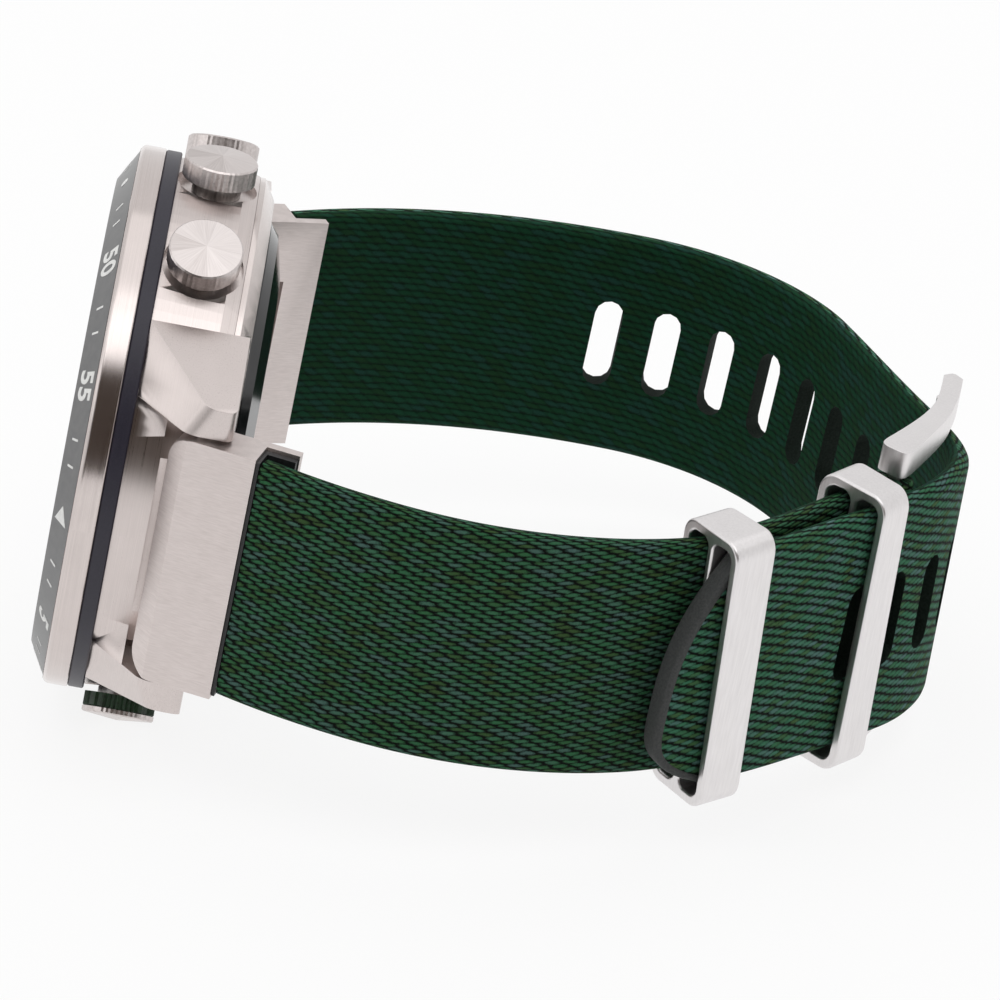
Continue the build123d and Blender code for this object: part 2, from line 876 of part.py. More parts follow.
def liner(side):
    """Black liner between the link's tail and the strap, with a lip at the mouth."""
    plane = link_plane(side)
    with BuildPart() as body:
        with BuildSketch(plane.offset(-half_strap)):
            with BuildLine():
                Polyline(
                    (link_length + 0.03, -0.95),
                    (link_length + 0.03, 1.85),
                    (link_length + liner_lip, 1.85),
                    (link_length + liner_lip, -0.95 + liner_plate),
                    (tail_length - 0.1, -0.95 + liner_plate),
                    (tail_length - 0.1, -0.95),
                    close=True,
                )
            make_face()
        extrude(amount=strap_width)
        with BuildSketch(plane.offset(-tab_half - 0.1)):
            with Locations((link_length + 0.2, (tab_low + tab_high) / 2)):
                Rectangle(1.0, tab_high - tab_low + 0.1)
        extrude(amount=2 * tab_half + 0.2, mode=Mode.SUBTRACT)
    return body.part


def latch(side):
    """Sliding latch that closes the mouth of the link's eye."""
    plane = link_plane(side)
    with BuildPart() as body:
        latch_bottom = -link_back + latch_gap - seat
        with BuildSketch(plane.offset(-latch_width / 2)):
            with Locations((latch_length / 2 - pin_radius, latch_bottom + latch_depth / 2)):
                Rectangle(latch_length, latch_depth)
        extrude(amount=latch_width)
        with BuildSketch(plane.offset(-catch_width / 2)):
            with Locations((latch_length - pin_radius - 1.15, -link_back - 0.1)):
                Rectangle(0.9, 0.5)
        extrude(amount=catch_width)
    return body.part


for name, side in (("near", -1), ("far", 1)):
    pieces[name + "_link"] = link(side)
    pieces[name + "_liner"] = liner(side)
    pieces[name + "_latch"] = latch(side)

with BuildPart() as lug_pins:
    with BuildSketch(Plane.XY.offset(-half_gap - horn_width + 1.0)):
        with Locations((pin_x, -pin_y), (pin_x, pin_y)):
            Circle(pin_radius)
    extrude(amount=lug_gap + 2 * horn_width - 2.0)
pieces["lug_pins"] = lug_pins.part

with BuildPart() as strap_bars:
    for side in (-1, 1):
        with BuildSketch(link_plane(side).offset(-link_width / 2 + 0.35)):
            with Locations((strap_bar_u, strap_bar_line)):
                Circle(strap_bar_radius)
        extrude(amount=link_width - 0.7)
pieces["strap_bars"] = strap_bars.part


# ---------------------------------------------------------------- strap


def strap_tab(side):
    """Pressed end of the strap inside its link."""
    plane = link_plane(side)
    with BuildPart() as tab:
        with BuildSketch(plane.offset(-tab_half)):
            with BuildLine():
                Polyline(
                    (tab_start, tab_low),
                    (tab_start, tab_high),
                    (link_length + liner_lip + 0.6, tab_high),
                    (link_length + liner_lip + 0.6, tab_low),
                    close=True,
                )
            make_face()
        extrude(amount=2 * tab_half)
        with BuildSketch(plane.offset(-tab_half)):
            with Locations((strap_bar_u, strap_bar_line)):
                Circle(strap_bar_radius + running)
        extrude(amount=2 * tab_half, mode=Mode.SUBTRACT)
    return tab.part


with BuildPart() as short_strap:
    add(band(short_start, short_heading, short_arcs, strap_thickness, strap_width))
    pin_plane = pose_plane(buckle_pose)
    with BuildSketch(pin_plane.offset(-half_strap)):
        Circle(eye_radius)
        with Locations((-eye_radius / 2, 0)):
            Rectangle(eye_radius, strap_thickness)
    extrude(amount=strap_width)
    with BuildSketch(pin_plane.offset(-half_strap)):
        Circle(buckle_pin_radius + seat)
    extrude(amount=strap_width, mode=Mode.SUBTRACT)
    with BuildSketch(pin_plane.offset(-tongue_width / 2 - 0.3)):
        with Locations((0.6, 0)):
            Rectangle(2 * eye_radius + 2.4, 2 * layer_pitch)
    extrude(amount=tongue_width + 0.6, mode=Mode.SUBTRACT)
    add(strap_tab(-1))
pieces["short_strap"] = short_strap.part

tip_plane = Plane(
    origin=(tip_pose[0], tip_pose[1], 0),
    x_dir=(cos(radians(tip_pose[2])), sin(radians(tip_pose[2])), 0),
    z_dir=(sin(radians(tip_pose[2])), -cos(radians(tip_pose[2])), 0),
)
tip_radius = (half_strap**2 + tip_sagitta**2) / (2 * tip_sagitta)


def tip_end(inset):
    """Everything beyond the rounded tip, set in by an inset, as a cutter."""
    with BuildPart() as end:
        with BuildSketch(tip_plane.offset(-4)):
            with Locations((2, 0)):
                Rectangle(20, strap_width + 4)
            with Locations((tip_radius, 0)):
                Circle(tip_radius - inset, mode=Mode.SUBTRACT)
            with Locations((tip_sagitta + inset + 20, 0)):
                Rectangle(40, strap_width + 4, mode=Mode.SUBTRACT)
        extrude(amount=8)
    return end.part


with BuildPart() as long_strap:
    add(band(tip_pose[:2], tip_pose[2], long_arcs, strap_thickness, strap_width))
    add(tip_end(binding_width), mode=Mode.SUBTRACT)
    for station in slot_stations:
        x, y, heading = on_long(station)
        across = Plane(
            origin=(x, y, 0),
            x_dir=(0, 0, 1),
            z_dir=(sin(radians(heading)), -cos(radians(heading)), 0),
        )
        with BuildSketch(across.offset(-strap_thickness)):
            SlotOverall(slot_length, slot_width)
        extrude(amount=2 * strap_thickness, mode=Mode.SUBTRACT)
    add(strap_tab(1))
pieces["long_strap"] = long_strap.part

with BuildPart() as tip_binding:
    add(band(tip_pose[:2], tip_pose[2], tail, strap_thickness + 0.1, strap_width))
    add(tip_end(0), mode=Mode.SUBTRACT)
    add(tip_end(binding_width - seat), mode=Mode.INTERSECT)
pieces["tip_binding"] = tip_binding.part

slot_depth = strap_thickness + 2 * keeper_play
keeper_depth = 2 * slot_depth + keeper_web + 2 * keeper_wall


def keeper(station, skew):
    """Double loop round both strap layers, slightly askew."""
    x, y, heading = offset_pose(on_short(station), layer_pitch / 2)
    along = Vector(cos(radians(heading)), sin(radians(heading)), 0)
    outward = Vector(sin(radians(heading)), -cos(radians(heading)), 0)
    lean = radians(skew)
    length_dir = along * cos(lean) + Vector(0, 0, 1) * sin(lean)
    face = Plane(origin=(x, y, 0), x_dir=outward, z_dir=length_dir)
    with BuildPart() as loop:
        with BuildSketch(face.offset(-keeper_length / 2)):
            RectangleRounded(keeper_depth, keeper_height, keeper_round)
            for step in (-1, 1):
                with Locations((step * (slot_depth + keeper_web) / 2, 0)):
                    RectangleRounded(
                        slot_depth,
                        keeper_height - 2 * keeper_wall,
                        keeper_round - 0.9,
                        mode=Mode.SUBTRACT,
                    )
        extrude(amount=keeper_length)
        ends = loop.faces().filter_by(Axis((0, 0, 0), length_dir))
        chamfer(ends.edges(), 0.15)
    return loop.part


for name, (station, skew) in keepers.items():
    pieces[name] = keeper(station, skew)


# ---------------------------------------------------------------- buckle


with BuildPart() as buckle_frame:
    for bottom in (arm_low, -arm_high):
        with BuildSketch(Plane.XY.offset(bottom)):
            with BuildLine():
                CenterArc((buckle_pose[0], buckle_pose[1]), arm_root, 0, 360)
                CenterArc((bar_pose[0], bar_pose[1]), bar_radius, 0, 360)
            make_hull()
        extrude(amount=arm_thickness)
    with BuildSketch(Plane.XY.offset(-arm_low)):
        with Locations(bar_pose[:2]):
            Circle(bar_radius)
    extrude(amount=2 * arm_low)
    with BuildSketch(Plane.XY.offset(-arm_high)):
        with Locations(buckle_pose[:2]):
            Circle(buckle_pin_radius + running)
    extrude(amount=2 * arm_high, mode=Mode.SUBTRACT)
pieces["buckle_frame"] = buckle_frame.part

with BuildPart() as buckle_pin:
    with BuildSketch(Plane.XY.offset(-arm_high + 0.2)):
        with Locations(buckle_pose[:2]):
            Circle(buckle_pin_radius)
    extrude(amount=2 * arm_high - 0.4)
pieces["buckle_pin"] = buckle_pin.part


def tongue_point(station, outward):
    x, y, heading = offset_pose(on_long(tail_length_to_pin + station), outward)
    return x, y


under = strap_thickness / 2 + tongue_clearance + tongue_thickness / 2
above_bar = strap_thickness / 2 + bar_gap + 2 * bar_radius + 0.1 + tongue_thickness / 2
with BuildPart() as buckle_tongue:
    with BuildSketch(Plane.XY.offset(-tongue_width / 2)):
        with BuildLine():
            Polyline(
                buckle_pose[:2],
                tongue_point(slot_at_tongue - 12.0, -under),
                tongue_point(slot_at_tongue - 6.0, -under),
                tongue_point(slot_at_tongue - 0.5, -under),
                tongue_point(slot_at_tongue + 0.9, above_bar),
                tongue_point(bar_reach + 0.8, above_bar + 0.1),
            )
        trace(line_width=tongue_thickness)
        with Locations(buckle_pose[:2]):
            Circle(eye_radius - tongue_hub_inset)
            Circle(buckle_pin_radius + running, mode=Mode.SUBTRACT)
    extrude(amount=tongue_width)
pieces["buckle_tongue"] = buckle_tongue.part


# ---------------------------------------------------------------- lay the watch on its side


def cap_depth(tilt):
    """How far the lower pusher caps reach below the case axis at a tilt."""
    spread = radians(pusher_spread)
    down = (sin(radians(tilt)), 0, -cos(radians(tilt)))
    axis_share = cos(spread) * -down[2]
    centre = pusher_x * down[0] + cap_top * cos(spread) * -down[2]
    return centre + cap_radius * sqrt(1 - axis_share**2)


def arm_depth(tilt):
    """How far the buckle's lower arm reaches below the case axis at a tilt."""
    far_x = bar_pose[0] + bar_radius * sin(radians(tilt))
    return far_x * sin(radians(tilt)) + arm_high * cos(radians(tilt))


low_tilt = 0.0
high_tilt = 40.0
for step in range(50):
    rest_tilt = (low_tilt + high_tilt) / 2
    if arm_depth(rest_tilt) > cap_depth(rest_tilt):
        high_tilt = rest_tilt
    else:
        low_tilt = rest_tilt

laid = {name: piece.moved(Location((0, 0, 0), (0, rest_tilt, 0))) for name, piece in pieces.items()}
boxes = [piece.bounding_box() for piece in laid.values()]
middle_x = (min(box.min.X for box in boxes) + max(box.max.X for box in boxes)) / 2
middle_y = (min(box.min.Y for box in boxes) + max(box.max.Y for box in boxes)) / 2
lowest = min(box.min.Z for box in boxes)

os.makedirs("parts", exist_ok=True)
for name, piece in laid.items():
    placed = piece.moved(Location((-middle_x, -middle_y, -lowest)))
    placed.label = name
    export_step(placed, "parts/" + name + ".step")

print("tilt", round(rest_tilt, 4), "shift", round(-middle_x, 4), round(-middle_y, 4), round(-lowest, 4))
print("buckle pin", [round(value, 4) for value in buckle_pose])
print("bar", [round(value, 3) for value in bar_pose])
for name, (station, skew) in keepers.items():
    print(name, [round(value, 3) for value in on_short(station)])
print("straight runs", [round(length, 2) for length, turn in long_arcs if turn == 0])
print("link pin", pin_x, pin_y, "motor", motor_x, motor_z, "back", back_x)
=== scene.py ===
"""Finish of a sports watch on a woven strap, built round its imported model.

The watch lies on its side on a pale floor. Lengths are in millimetres in the watch's own
axes: x from the dial to the back, y from 12 o'clock to 6 o'clock, z towards 9 o'clock.
The floor, the lamps and the camera are in metres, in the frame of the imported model.
"""

import json
from math import atan2, cos, degrees, pi, radians, sin, sqrt

import bmesh
import bpy
from mathutils import Euler, Matrix, Vector


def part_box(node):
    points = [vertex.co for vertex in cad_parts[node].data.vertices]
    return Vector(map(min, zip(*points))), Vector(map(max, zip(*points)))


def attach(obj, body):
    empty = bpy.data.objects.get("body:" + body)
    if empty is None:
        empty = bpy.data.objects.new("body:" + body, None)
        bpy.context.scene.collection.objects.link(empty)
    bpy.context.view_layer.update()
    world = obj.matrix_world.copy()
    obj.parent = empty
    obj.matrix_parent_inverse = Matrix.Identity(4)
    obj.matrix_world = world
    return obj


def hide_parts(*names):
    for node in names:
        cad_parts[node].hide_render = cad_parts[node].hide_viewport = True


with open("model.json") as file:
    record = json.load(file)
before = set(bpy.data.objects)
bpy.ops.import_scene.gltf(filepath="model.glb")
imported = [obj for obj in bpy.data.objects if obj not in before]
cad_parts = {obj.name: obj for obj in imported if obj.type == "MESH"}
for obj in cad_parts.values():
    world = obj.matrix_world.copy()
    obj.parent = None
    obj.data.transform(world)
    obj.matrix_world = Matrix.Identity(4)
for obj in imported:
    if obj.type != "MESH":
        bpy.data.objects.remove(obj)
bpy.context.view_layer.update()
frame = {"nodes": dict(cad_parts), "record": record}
record = frame["record"]
nodes = frame["nodes"]

# ------------------------------------------------------------ driving sizes, in mm

mm = 0.001
touch = 0.001
near = 0.01
dial_x = -3.65
seam_x = 8.1
inlay_inner = 19.75
inlay_outer = 22.45
inlay_rise = 1.5
pin_x = seam_x - 0.8
pin_y = 23.8
near_tilt = 14.0
far_tilt = 22.0

pusher_labels = ("up", "light", "down", "start", "back")
cap_radius = 3.05
cap_wedges = 9
cap_flutes = 90
cap_crown = 0.3

link_length = 4.8
link_lip = 0.3
link_play = 0.05
strap_bend = 12.0
strap_line = 0.9
strap_width = 21.0
strap_thickness = 1.8
layer_gap = 1.3
short_arcs = [(12.0, 14.5), (12.0, 21.5), (12.0, 20.0), (12.0, 15.5), (10.2, 3.5)]
eye_radius = 1.9
eye_lap = 0.9
buckle_pin_radius = 0.8
heel_radius = 18.8
shoulder_radius = 19.5
shoulder_turn = 62.0
far_radius = 52.5
far_turn = 36.0
tip_station = 33.6

slot_length = 8.3
slot_width = 2.6
slot_pitch = 5.6
slots_behind = 5
slots_ahead = 8
slot_at_tongue = 19.1
slot_creep = 0.65
most_creep = 1.3

half_strap = strap_width / 2
layer_pitch = strap_thickness + layer_gap
map_unit = 100.0

# ------------------------------------------------------------ the watch's axes

face = next(mount for mount in record["mounts"] if mount["name"] == "screen_face")
inward = -Vector(face["axis"])
centre = Vector(face["pos_m"]) - inward * dial_x * mm
rest_tilt = atan2(-inward.z, inward.x)
laid = Matrix.Translation(centre) @ Matrix.Rotation(rest_tilt, 4, "Y") @ Matrix.Scale(mm, 4)
upright = laid.inverted()


def node_middle(name):
    low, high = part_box(name)
    return upright @ ((low + high) / 2)


def node_points(name):
    """A node's points in the watch's axes."""
    return [upright @ vertex.co for vertex in nodes[name].data.vertices]


# ------------------------------------------------------------ material helpers


def new_material(name, **sockets):
    """A material with a Principled shader and constants on its own sockets."""
    material = bpy.data.materials.new(name)
    material.use_nodes = True
    shader = material.node_tree.nodes["Principled BSDF"]
    for socket, value in sockets.items():
        shader.inputs[socket.replace("_", " ")].default_value = value
    return material, material.node_tree, shader


def node(tree, kind, *links, **settings):
    """A node with its settings, fed by sockets or plain values in order."""
    made = tree.nodes.new("ShaderNode" + kind)
    for name, value in settings.items():
        setattr(made, name, value)
    for slot, value in enumerate(links):
        if isinstance(value, bpy.types.NodeSocket):
            tree.links.new(value, made.inputs[slot])
        else:
            made.inputs[slot].default_value = value
    return made


def maths(tree, operation, *values):
    return node(tree, "Math", *values, operation=operation).outputs[0]


def plus(tree, first, second):
    return maths(tree, "ADD", first, second)


def minus(tree, first, second):
    return maths(tree, "SUBTRACT", first, second)


def times(tree, first, second):
    return maths(tree, "MULTIPLY", first, second)


def ratio(tree, first, second):
    return maths(tree, "DIVIDE", first, second)


def stretched(tree, place, factors):
    """A place with each of its parts multiplied by a factor of its own."""
    return node(tree, "VectorMath", place, factors, operation="MULTIPLY").outputs[0]


def fade(tree, amount, start, stop, low, high):
    """An amount from start to stop brought to low to high, and held past its ends."""
    return node(tree, "MapRange", amount, start, stop, low, high).outputs[0]


def spread(tree, amount, low, high):
    """A 0 to 1 amount brought into a range."""
    return fade(tree, amount, 0.0, 1.0, low, high)


def watch_place(tree):
    """Object coordinates turned into the watch's axes, in millimetres."""
    where = node(tree, "TexCoord").outputs["Object"]
    turned = node(tree, "Mapping", where, vector_type="TEXTURE")
    turned.inputs["Location"].default_value = centre
    turned.inputs["Rotation"].default_value = (0.0, rest_tilt, 0.0)
    turned.inputs["Scale"].default_value = (mm, mm, mm)
    return turned.outputs[0]


def noise(tree, place, scale, detail=2.0, roughness=0.5):
    made = node(tree, "TexNoise", place)
    made.inputs["Scale"].default_value = scale
    made.inputs["Detail"].default_value = detail
    made.inputs["Roughness"].default_value = roughness
    return made.outputs["Fac"]


def ramp(tree, amount, *stops):
    made = node(tree, "ValToRGB", amount)
    line = made.color_ramp
    while len(line.elements) < len(stops):
        line.elements.new(0.5)
    for element, (position, colour) in zip(line.elements, stops):
        element.position = position
        element.color = (*colour, 1.0)
    return made.outputs["Color"]


def add_bump(tree, shader, height, depth):
    """Relief of a height of 0 to 1 that stands a depth in mm."""
    made = node(tree, "Bump")
    made.inputs["Strength"].default_value = 1.0
    made.inputs["Distance"].default_value = depth * mm
    tree.links.new(height, made.inputs["Height"])
    tree.links.new(made.outputs[0], shader.inputs["Normal"])


def turned_grain(tree, shader, place, grain):
    """Grain along the axis, the radius and the arc, with the shine drawn out round the axis."""
    parts = node(tree, "SeparateXYZ", place).outputs
    radius = maths(tree, "SQRT", plus(tree, maths(tree, "POWER", parts[1], 2.0),
                                      maths(tree, "POWER", parts[2], 2.0)))
    arc = maths(tree, "ARCTAN2", parts[2], parts[1])
    where = node(tree, "TexCoord").outputs["Object"]
    spoke = node(tree, "VectorMath", where, tuple(centre), operation="SUBTRACT").outputs[0]
    around = node(tree, "VectorMath", tuple(inward), spoke, operation="CROSS_PRODUCT")
    tree.links.new(around.outputs[0], shader.inputs["Tangent"])
    return node(tree, "CombineXYZ", times(tree, parts[0], grain[0]),
                times(tree, radius, grain[1]), times(tree, arc, grain[2])).outputs[0]


def brushed(name, colour, dark, roughness, grain, depth=0.004, stretch=0.0, turned=False):
    """Metal with fine brush lines.

    The grain gives lines per mm along each of the watch's axes, or along the axis, the radius
    and the arc for a turned finish.
    """
    material, tree, shader = new_material(name, Metallic=1.0, Anisotropic=stretch,
                                          Anisotropic_Rotation=0.25)
    place = watch_place(tree)
    if turned:
        grain_place = turned_grain(tree, shader, place, grain)
    else:
        grain_place = stretched(tree, place, grain)
    lines = noise(tree, grain_place, 1.0, 3.0, 0.6)
    cloud = noise(tree, place, 0.5, 3.0)
    both = plus(tree, times(tree, lines, 0.8), times(tree, cloud, 0.2))
    tree.links.new(ramp(tree, both, (0.3, dark), (0.65, colour)), shader.inputs["Base Color"])
    tree.links.new(spread(tree, lines, roughness - 0.07, roughness + 0.09),
                   shader.inputs["Roughness"])
    add_bump(tree, shader, lines, depth)
    return material


def dull(name, colour, dark, roughness, scale=3.0, depth=0.01, **sockets):
    """Moulded or coated surface with a faint mottle and a relief six times finer."""
    material, tree, shader = new_material(name, **sockets)
    place = watch_place(tree)
    cloud = noise(tree, place, scale, 4.0)
    tree.links.new(ramp(tree, cloud, (0.35, dark), (0.65, colour)), shader.inputs["Base Color"])
    tree.links.new(spread(tree, cloud, roughness - 0.05, roughness + 0.05),
                   shader.inputs["Roughness"])
    add_bump(tree, shader, noise(tree, place, scale * 6, 2.0), depth)
    return material


def weave(name, slope, row, column, row_shift, lean, tilt, length, breadth, threads, gap_shade, depth):
    """Woven threads on the strap's own map: rows of short stitches in mm.

    The rows climb by a slope and lie one row apart. Stitches lie one column apart in a row, the
    next row is shifted by a share of a column, and a lean or a tilt turns each stitch.
    """
    material, tree, shader = new_material(name, Roughness=0.75, Specular_IOR_Level=0.12)
    uv = node(tree, "UVMap", uv_map="weave").outputs[0]
    wobble = noise(tree, uv, 70.0, 3.0)
    parts = node(tree, "SeparateXYZ", uv).outputs
    along = times(tree, parts[0], map_unit)
    side = plus(tree, times(tree, parts[1], map_unit), spread(tree, wobble, -0.22, 0.22))

    lift = ratio(tree, minus(tree, side, times(tree, along, slope)), row)
    row_number = maths(tree, "FLOOR", lift)
    in_row = minus(tree, maths(tree, "FRACT", lift), 0.5)
    run = plus(tree, ratio(tree, along, column), times(tree, row_number, row_shift))
    run = minus(tree, run, times(tree, in_row, lean))
    stitch_number = maths(tree, "FLOOR", run)
    in_stitch = minus(tree, maths(tree, "FRACT", run), 0.5)
    in_row = minus(tree, in_row, times(tree, in_stitch, tilt))

    def fall(place, reach, power):
        return maths(tree, "POWER", maths(tree, "ABSOLUTE", ratio(tree, place, reach)), power)

    left = minus(tree, 1.0, plus(tree, fall(in_stitch, length, 2.2), fall(in_row, breadth, 2.0)))
    dome = maths(tree, "POWER", maths(tree, "MAXIMUM", left, 0.0), 0.5)

    stitch = node(tree, "CombineXYZ", stitch_number, row_number, 0.0).outputs[0]
    dye = node(tree, "TexWhiteNoise", stitch, noise_dimensions="3D").outputs["Value"]
    patch = noise(tree, uv, 22.0, 2.0)
    pick = plus(tree, times(tree, dye, 0.5), times(tree, patch, 0.5))
    thread = ramp(tree, pick, *zip((0.24, 0.42, 0.58, 0.76), threads))
    fuzz = noise(tree, stretched(tree, uv, (520.0, 700.0, 1.0)), 1.0, 3.0, 0.7)
    # The thread colour fades into the gap colour towards each stitch's edge: painted shade of the
    # rounded stitch, broken up by fibre fuzz.
    stitch_shade_and_fuzz = plus(tree, left, spread(tree, fuzz, -0.8, 0.6))
    colour = node(tree, "Mix", data_type="RGBA")
    tree.links.new(fade(tree, stitch_shade_and_fuzz, 0.0, 0.8, 0.0, 1.0), colour.inputs[0])
    # The gap colour is painted shade between the stitches.
    colour.inputs[6].default_value = (*gap_shade, 1.0)
    tree.links.new(thread, colour.inputs[7])
    tree.links.new(colour.outputs[2], shader.inputs["Base Color"])

    fibre = noise(tree, stretched(tree, uv, (900.0, 5000.0, 1.0)), 1.0, 1.0)
    add_bump(tree, shader, plus(tree, dome, times(tree, fibre, 0.12)), depth)
    return material


# ------------------------------------------------------------ finishes

silver = (0.68, 0.61, 0.59)
turned_titanium = brushed("turned_titanium", silver, (0.58, 0.52, 0.5), 0.22, (24.0, 24.0, 1.5),
                          0.001, stretch=0.9, turned=True)
case_titanium = brushed("case_titanium", silver, (0.59, 0.53, 0.51), 0.29, (14.0, 14.0, 2.0),
                        0.0, stretch=0.5, turned=True)
link_titanium = brushed("link_titanium", (0.72, 0.65, 0.63), (0.61, 0.545, 0.525), 0.38,
                        (1.0, 1.0, 9.0), 0.003)
keeper_metal = brushed("keeper_metal", (0.81, 0.785, 0.785), (0.73, 0.705, 0.705), 0.36,
                       (5.0, 5.0, 0.35), 0.0015)
pusher_metal = brushed("pusher_metal", (0.7, 0.645, 0.63), (0.52, 0.47, 0.455), 0.3,
                       (4.0, 4.0, 4.0), 0.002)
steel = brushed("pin_steel", (0.6, 0.58, 0.56), (0.42, 0.4, 0.39), 0.3, (6.0, 6.0, 0.6))
inlay_grey = dull("inlay_grey", (0.15, 0.15, 0.15), (0.125, 0.125, 0.128), 0.34, 1.2, 0.002)
mark_white = dull("mark_white", (0.82, 0.82, 0.8), (0.74, 0.74, 0.73), 0.5)
blue_black = dull("blue_black", (0.022, 0.019, 0.034), (0.014, 0.012, 0.024), 0.42, 8.0, 0.006)
black_plastic = dull("black_plastic", (0.02, 0.02, 0.022), (0.011, 0.011, 0.012), 0.45, 4.0)
black_rubber = dull("black_rubber", (0.022, 0.022, 0.022), (0.012, 0.012, 0.012), 0.7, 6.0)
board_green = dull("board_green", (0.02, 0.14, 0.06), (0.012, 0.09, 0.04), 0.45, 2.0)
battery_foil = dull("battery_foil", (0.5, 0.5, 0.52), (0.38, 0.38, 0.4), 0.35, 2.0, Metallic=0.8)
gold = brushed("contact_gold", (0.83, 0.62, 0.3), (0.66, 0.47, 0.2), 0.25, (5.0, 5.0, 5.0))
dark_binding = dull("dark_binding", (0.05, 0.053, 0.052), (0.028, 0.03, 0.03), 0.72, 5.0, 0.03)
# Near-black finish on the walls inside the strap's slots: painted shade where the slots fall dark.
slot_shade = dull("slot_shade", (0.012, 0.02, 0.015), (0.005, 0.01, 0.007), 0.8, 5.0, 0.02,
                   Specular_IOR_Level=0.12)
green_accent = dull("green_accent", (0.012, 0.05, 0.016), (0.004, 0.018, 0.004), 0.4, 3.0, 0.02)
display_black = dull("display_black", (0.012, 0.013, 0.016), (0.008, 0.009, 0.011), 0.3, 1.0, 0.0)
rear_glass = dull("rear_glass", (0.012, 0.012, 0.014), (0.007, 0.007, 0.008), 0.12, 1.0, 0.0)

# Each weave's gap colour is painted shade between its stitches.
near_weave = weave("near_weave", slope=0.147, row=0.3675, column=1.46, row_shift=0.5, lean=0.0,
                   tilt=-0.4, length=0.5, breadth=0.58,
                   threads=((0.042, 0.09, 0.03), (0.032, 0.135, 0.056), (0.047, 0.15, 0.08),
                            (0.066, 0.135, 0.115)),
                   gap_shade=(0.0003, 0.0025, 0.0007), depth=0.2)
tail_weave = weave("tail_weave", slope=-0.314, row=0.754, column=0.7, row_shift=0.143, lean=1.6,
                   tilt=0.0, length=0.68, breadth=0.48,
                   threads=((0.052, 0.115, 0.04), (0.04, 0.165, 0.085), (0.058, 0.185, 0.115),
                            (0.086, 0.175, 0.16)),
                   gap_shade=(0.0003, 0.0025, 0.0008), depth=0.24)
inner_weave = weave("inner_weave", slope=0.05, row=0.62, column=1.3, row_shift=0.4, lean=0.6,
                    tilt=0.0, length=0.75, breadth=0.56,
                    threads=((0.008, 0.042, 0.014), (0.005, 0.046, 0.018), (0.007, 0.054, 0.026),
                             (0.01, 0.05, 0.036)),
                    gap_shade=(0.001, 0.012, 0.005), depth=0.06)


def sunray_material():
    """Pusher tops brushed outwards from the middle, with a painted reflection tone on each wedge."""
    material, tree, shader = new_material("sunray_metal", Metallic=1.0)
    parts = node(tree, "SeparateXYZ", node(tree, "UVMap", uv_map="cap").outputs[0]).outputs
    wedge = maths(tree, "FLOOR", times(tree, parts[0], cap_wedges))
    # Each wedge gets a random lighter or darker tone: a painted reflection of its brushed facet.
    wedge_sheen = node(tree, "TexWhiteNoise", node(tree, "CombineXYZ", wedge).outputs[0]).outputs["Value"]
    place = node(tree, "CombineXYZ", times(tree, parts[0], 260.0), parts[1]).outputs[0]
    lines = noise(tree, place, 1.0, 2.0)
    both = plus(tree, times(tree, wedge_sheen, 0.35), times(tree, lines, 0.65))
    tree.links.new(ramp(tree, both, (0.25, (0.54, 0.49, 0.475)), (0.6, (0.73, 0.675, 0.66))),
                   shader.inputs["Base Color"])
    tree.links.new(spread(tree, lines, 0.24, 0.4), shader.inputs["Roughness"])
    add_bump(tree, shader, lines, 0.006)
    return material


def crystal_material():
    """Clear glass, faintly smeared."""
    material, tree, shader = new_material("crystal_glass", IOR=1.5, Transmission_Weight=1.0)
    smear = noise(tree, watch_place(tree), 0.4, 2.0)
    tree.links.new(spread(tree, smear, 0.02, 0.05), shader.inputs["Roughness"])
    shader.inputs["Base Color"].default_value = (0.96, 0.97, 0.97, 1.0)
    return material


sunray_metal = sunray_material()
crystal_glass = crystal_material()

finish_groups = (
    (case_titanium, ["mid_case"]),
    (turned_titanium, ["bezel_ring", "rear_cover"]),
    (link_titanium, ["near_link", "far_link"]),
    (keeper_metal, ["buckle_frame", "buckle_tongue", "keeper_near", "keeper_far"]),
    (pusher_metal, ["cap_" + label for label in pusher_labels]),
    (steel, ["stem_" + label for label in pusher_labels]),
    (steel, ["pusher_sleeves", "pusher_springs", "motor", "motor_weight", "rear_screws"]),
    (steel, ["near_latch", "far_latch", "lug_pins", "strap_bars", "buckle_pin"]),
    (gold, ["charge_contacts"]),
    (inlay_grey, ["bezel_inlay"]),
    (blue_black, ["isolating_ring"]),
    (crystal_glass, ["crystal"]),
    (rear_glass, ["rear_window"]),
    (display_black, ["display_module"]),
    (board_green, ["circuit_board", "sensor_board"]),
    (battery_foil, ["battery"]),
    (black_rubber, ["crystal_gasket", "rear_gasket"]),
    (black_plastic, ["dial_flange", "chassis", "near_liner", "far_liner"]),
    (near_weave, ["short_strap"]),
    (tail_weave, ["long_strap"]),
    (dark_binding, ["tip_binding"]),
    (green_accent, ["accent_ring"]),
)
for finish, names in finish_groups:
    for name in names:
        nodes[name].data.materials.clear()
        nodes[name].data.materials.append(finish)

# ------------------------------------------------------------ making pieces

closed_end = (60.0, 70.0)
closing_run = (46.0, 60.0)
far_side = (-9.0, 8.0)
twist = 0.5
end_rise = 0.9
end_spread = 0.3
sharp_angle = 28.0
sharp_turn = 1.2


def body_of(name):
    return next(body for body, members in record["behaviour"]["bodies"].items() if name in members)


def eased(value, low, high):
    """0 below the low end, 1 above the high end, and a smooth rise between them."""
    share = max(0.0, min(1.0, (value - low) / (high - low)))
    return share * share * (3 - 2 * share)


def settle(spot):
    """The twist of the worn strap: the closed end's upper edge leans away and in."""
    height = spot.z / half_strap
    lean = eased(spot.x, *closed_end) * twist * (height + 1.0)
    share = eased(spot.x, *closing_run) * (1.0 - eased(spot.y, *far_side))
    back = share * twist * (1.0 + height)
    rise = share * (end_rise + end_spread * height)
    return spot + Vector((-lean, back, rise))


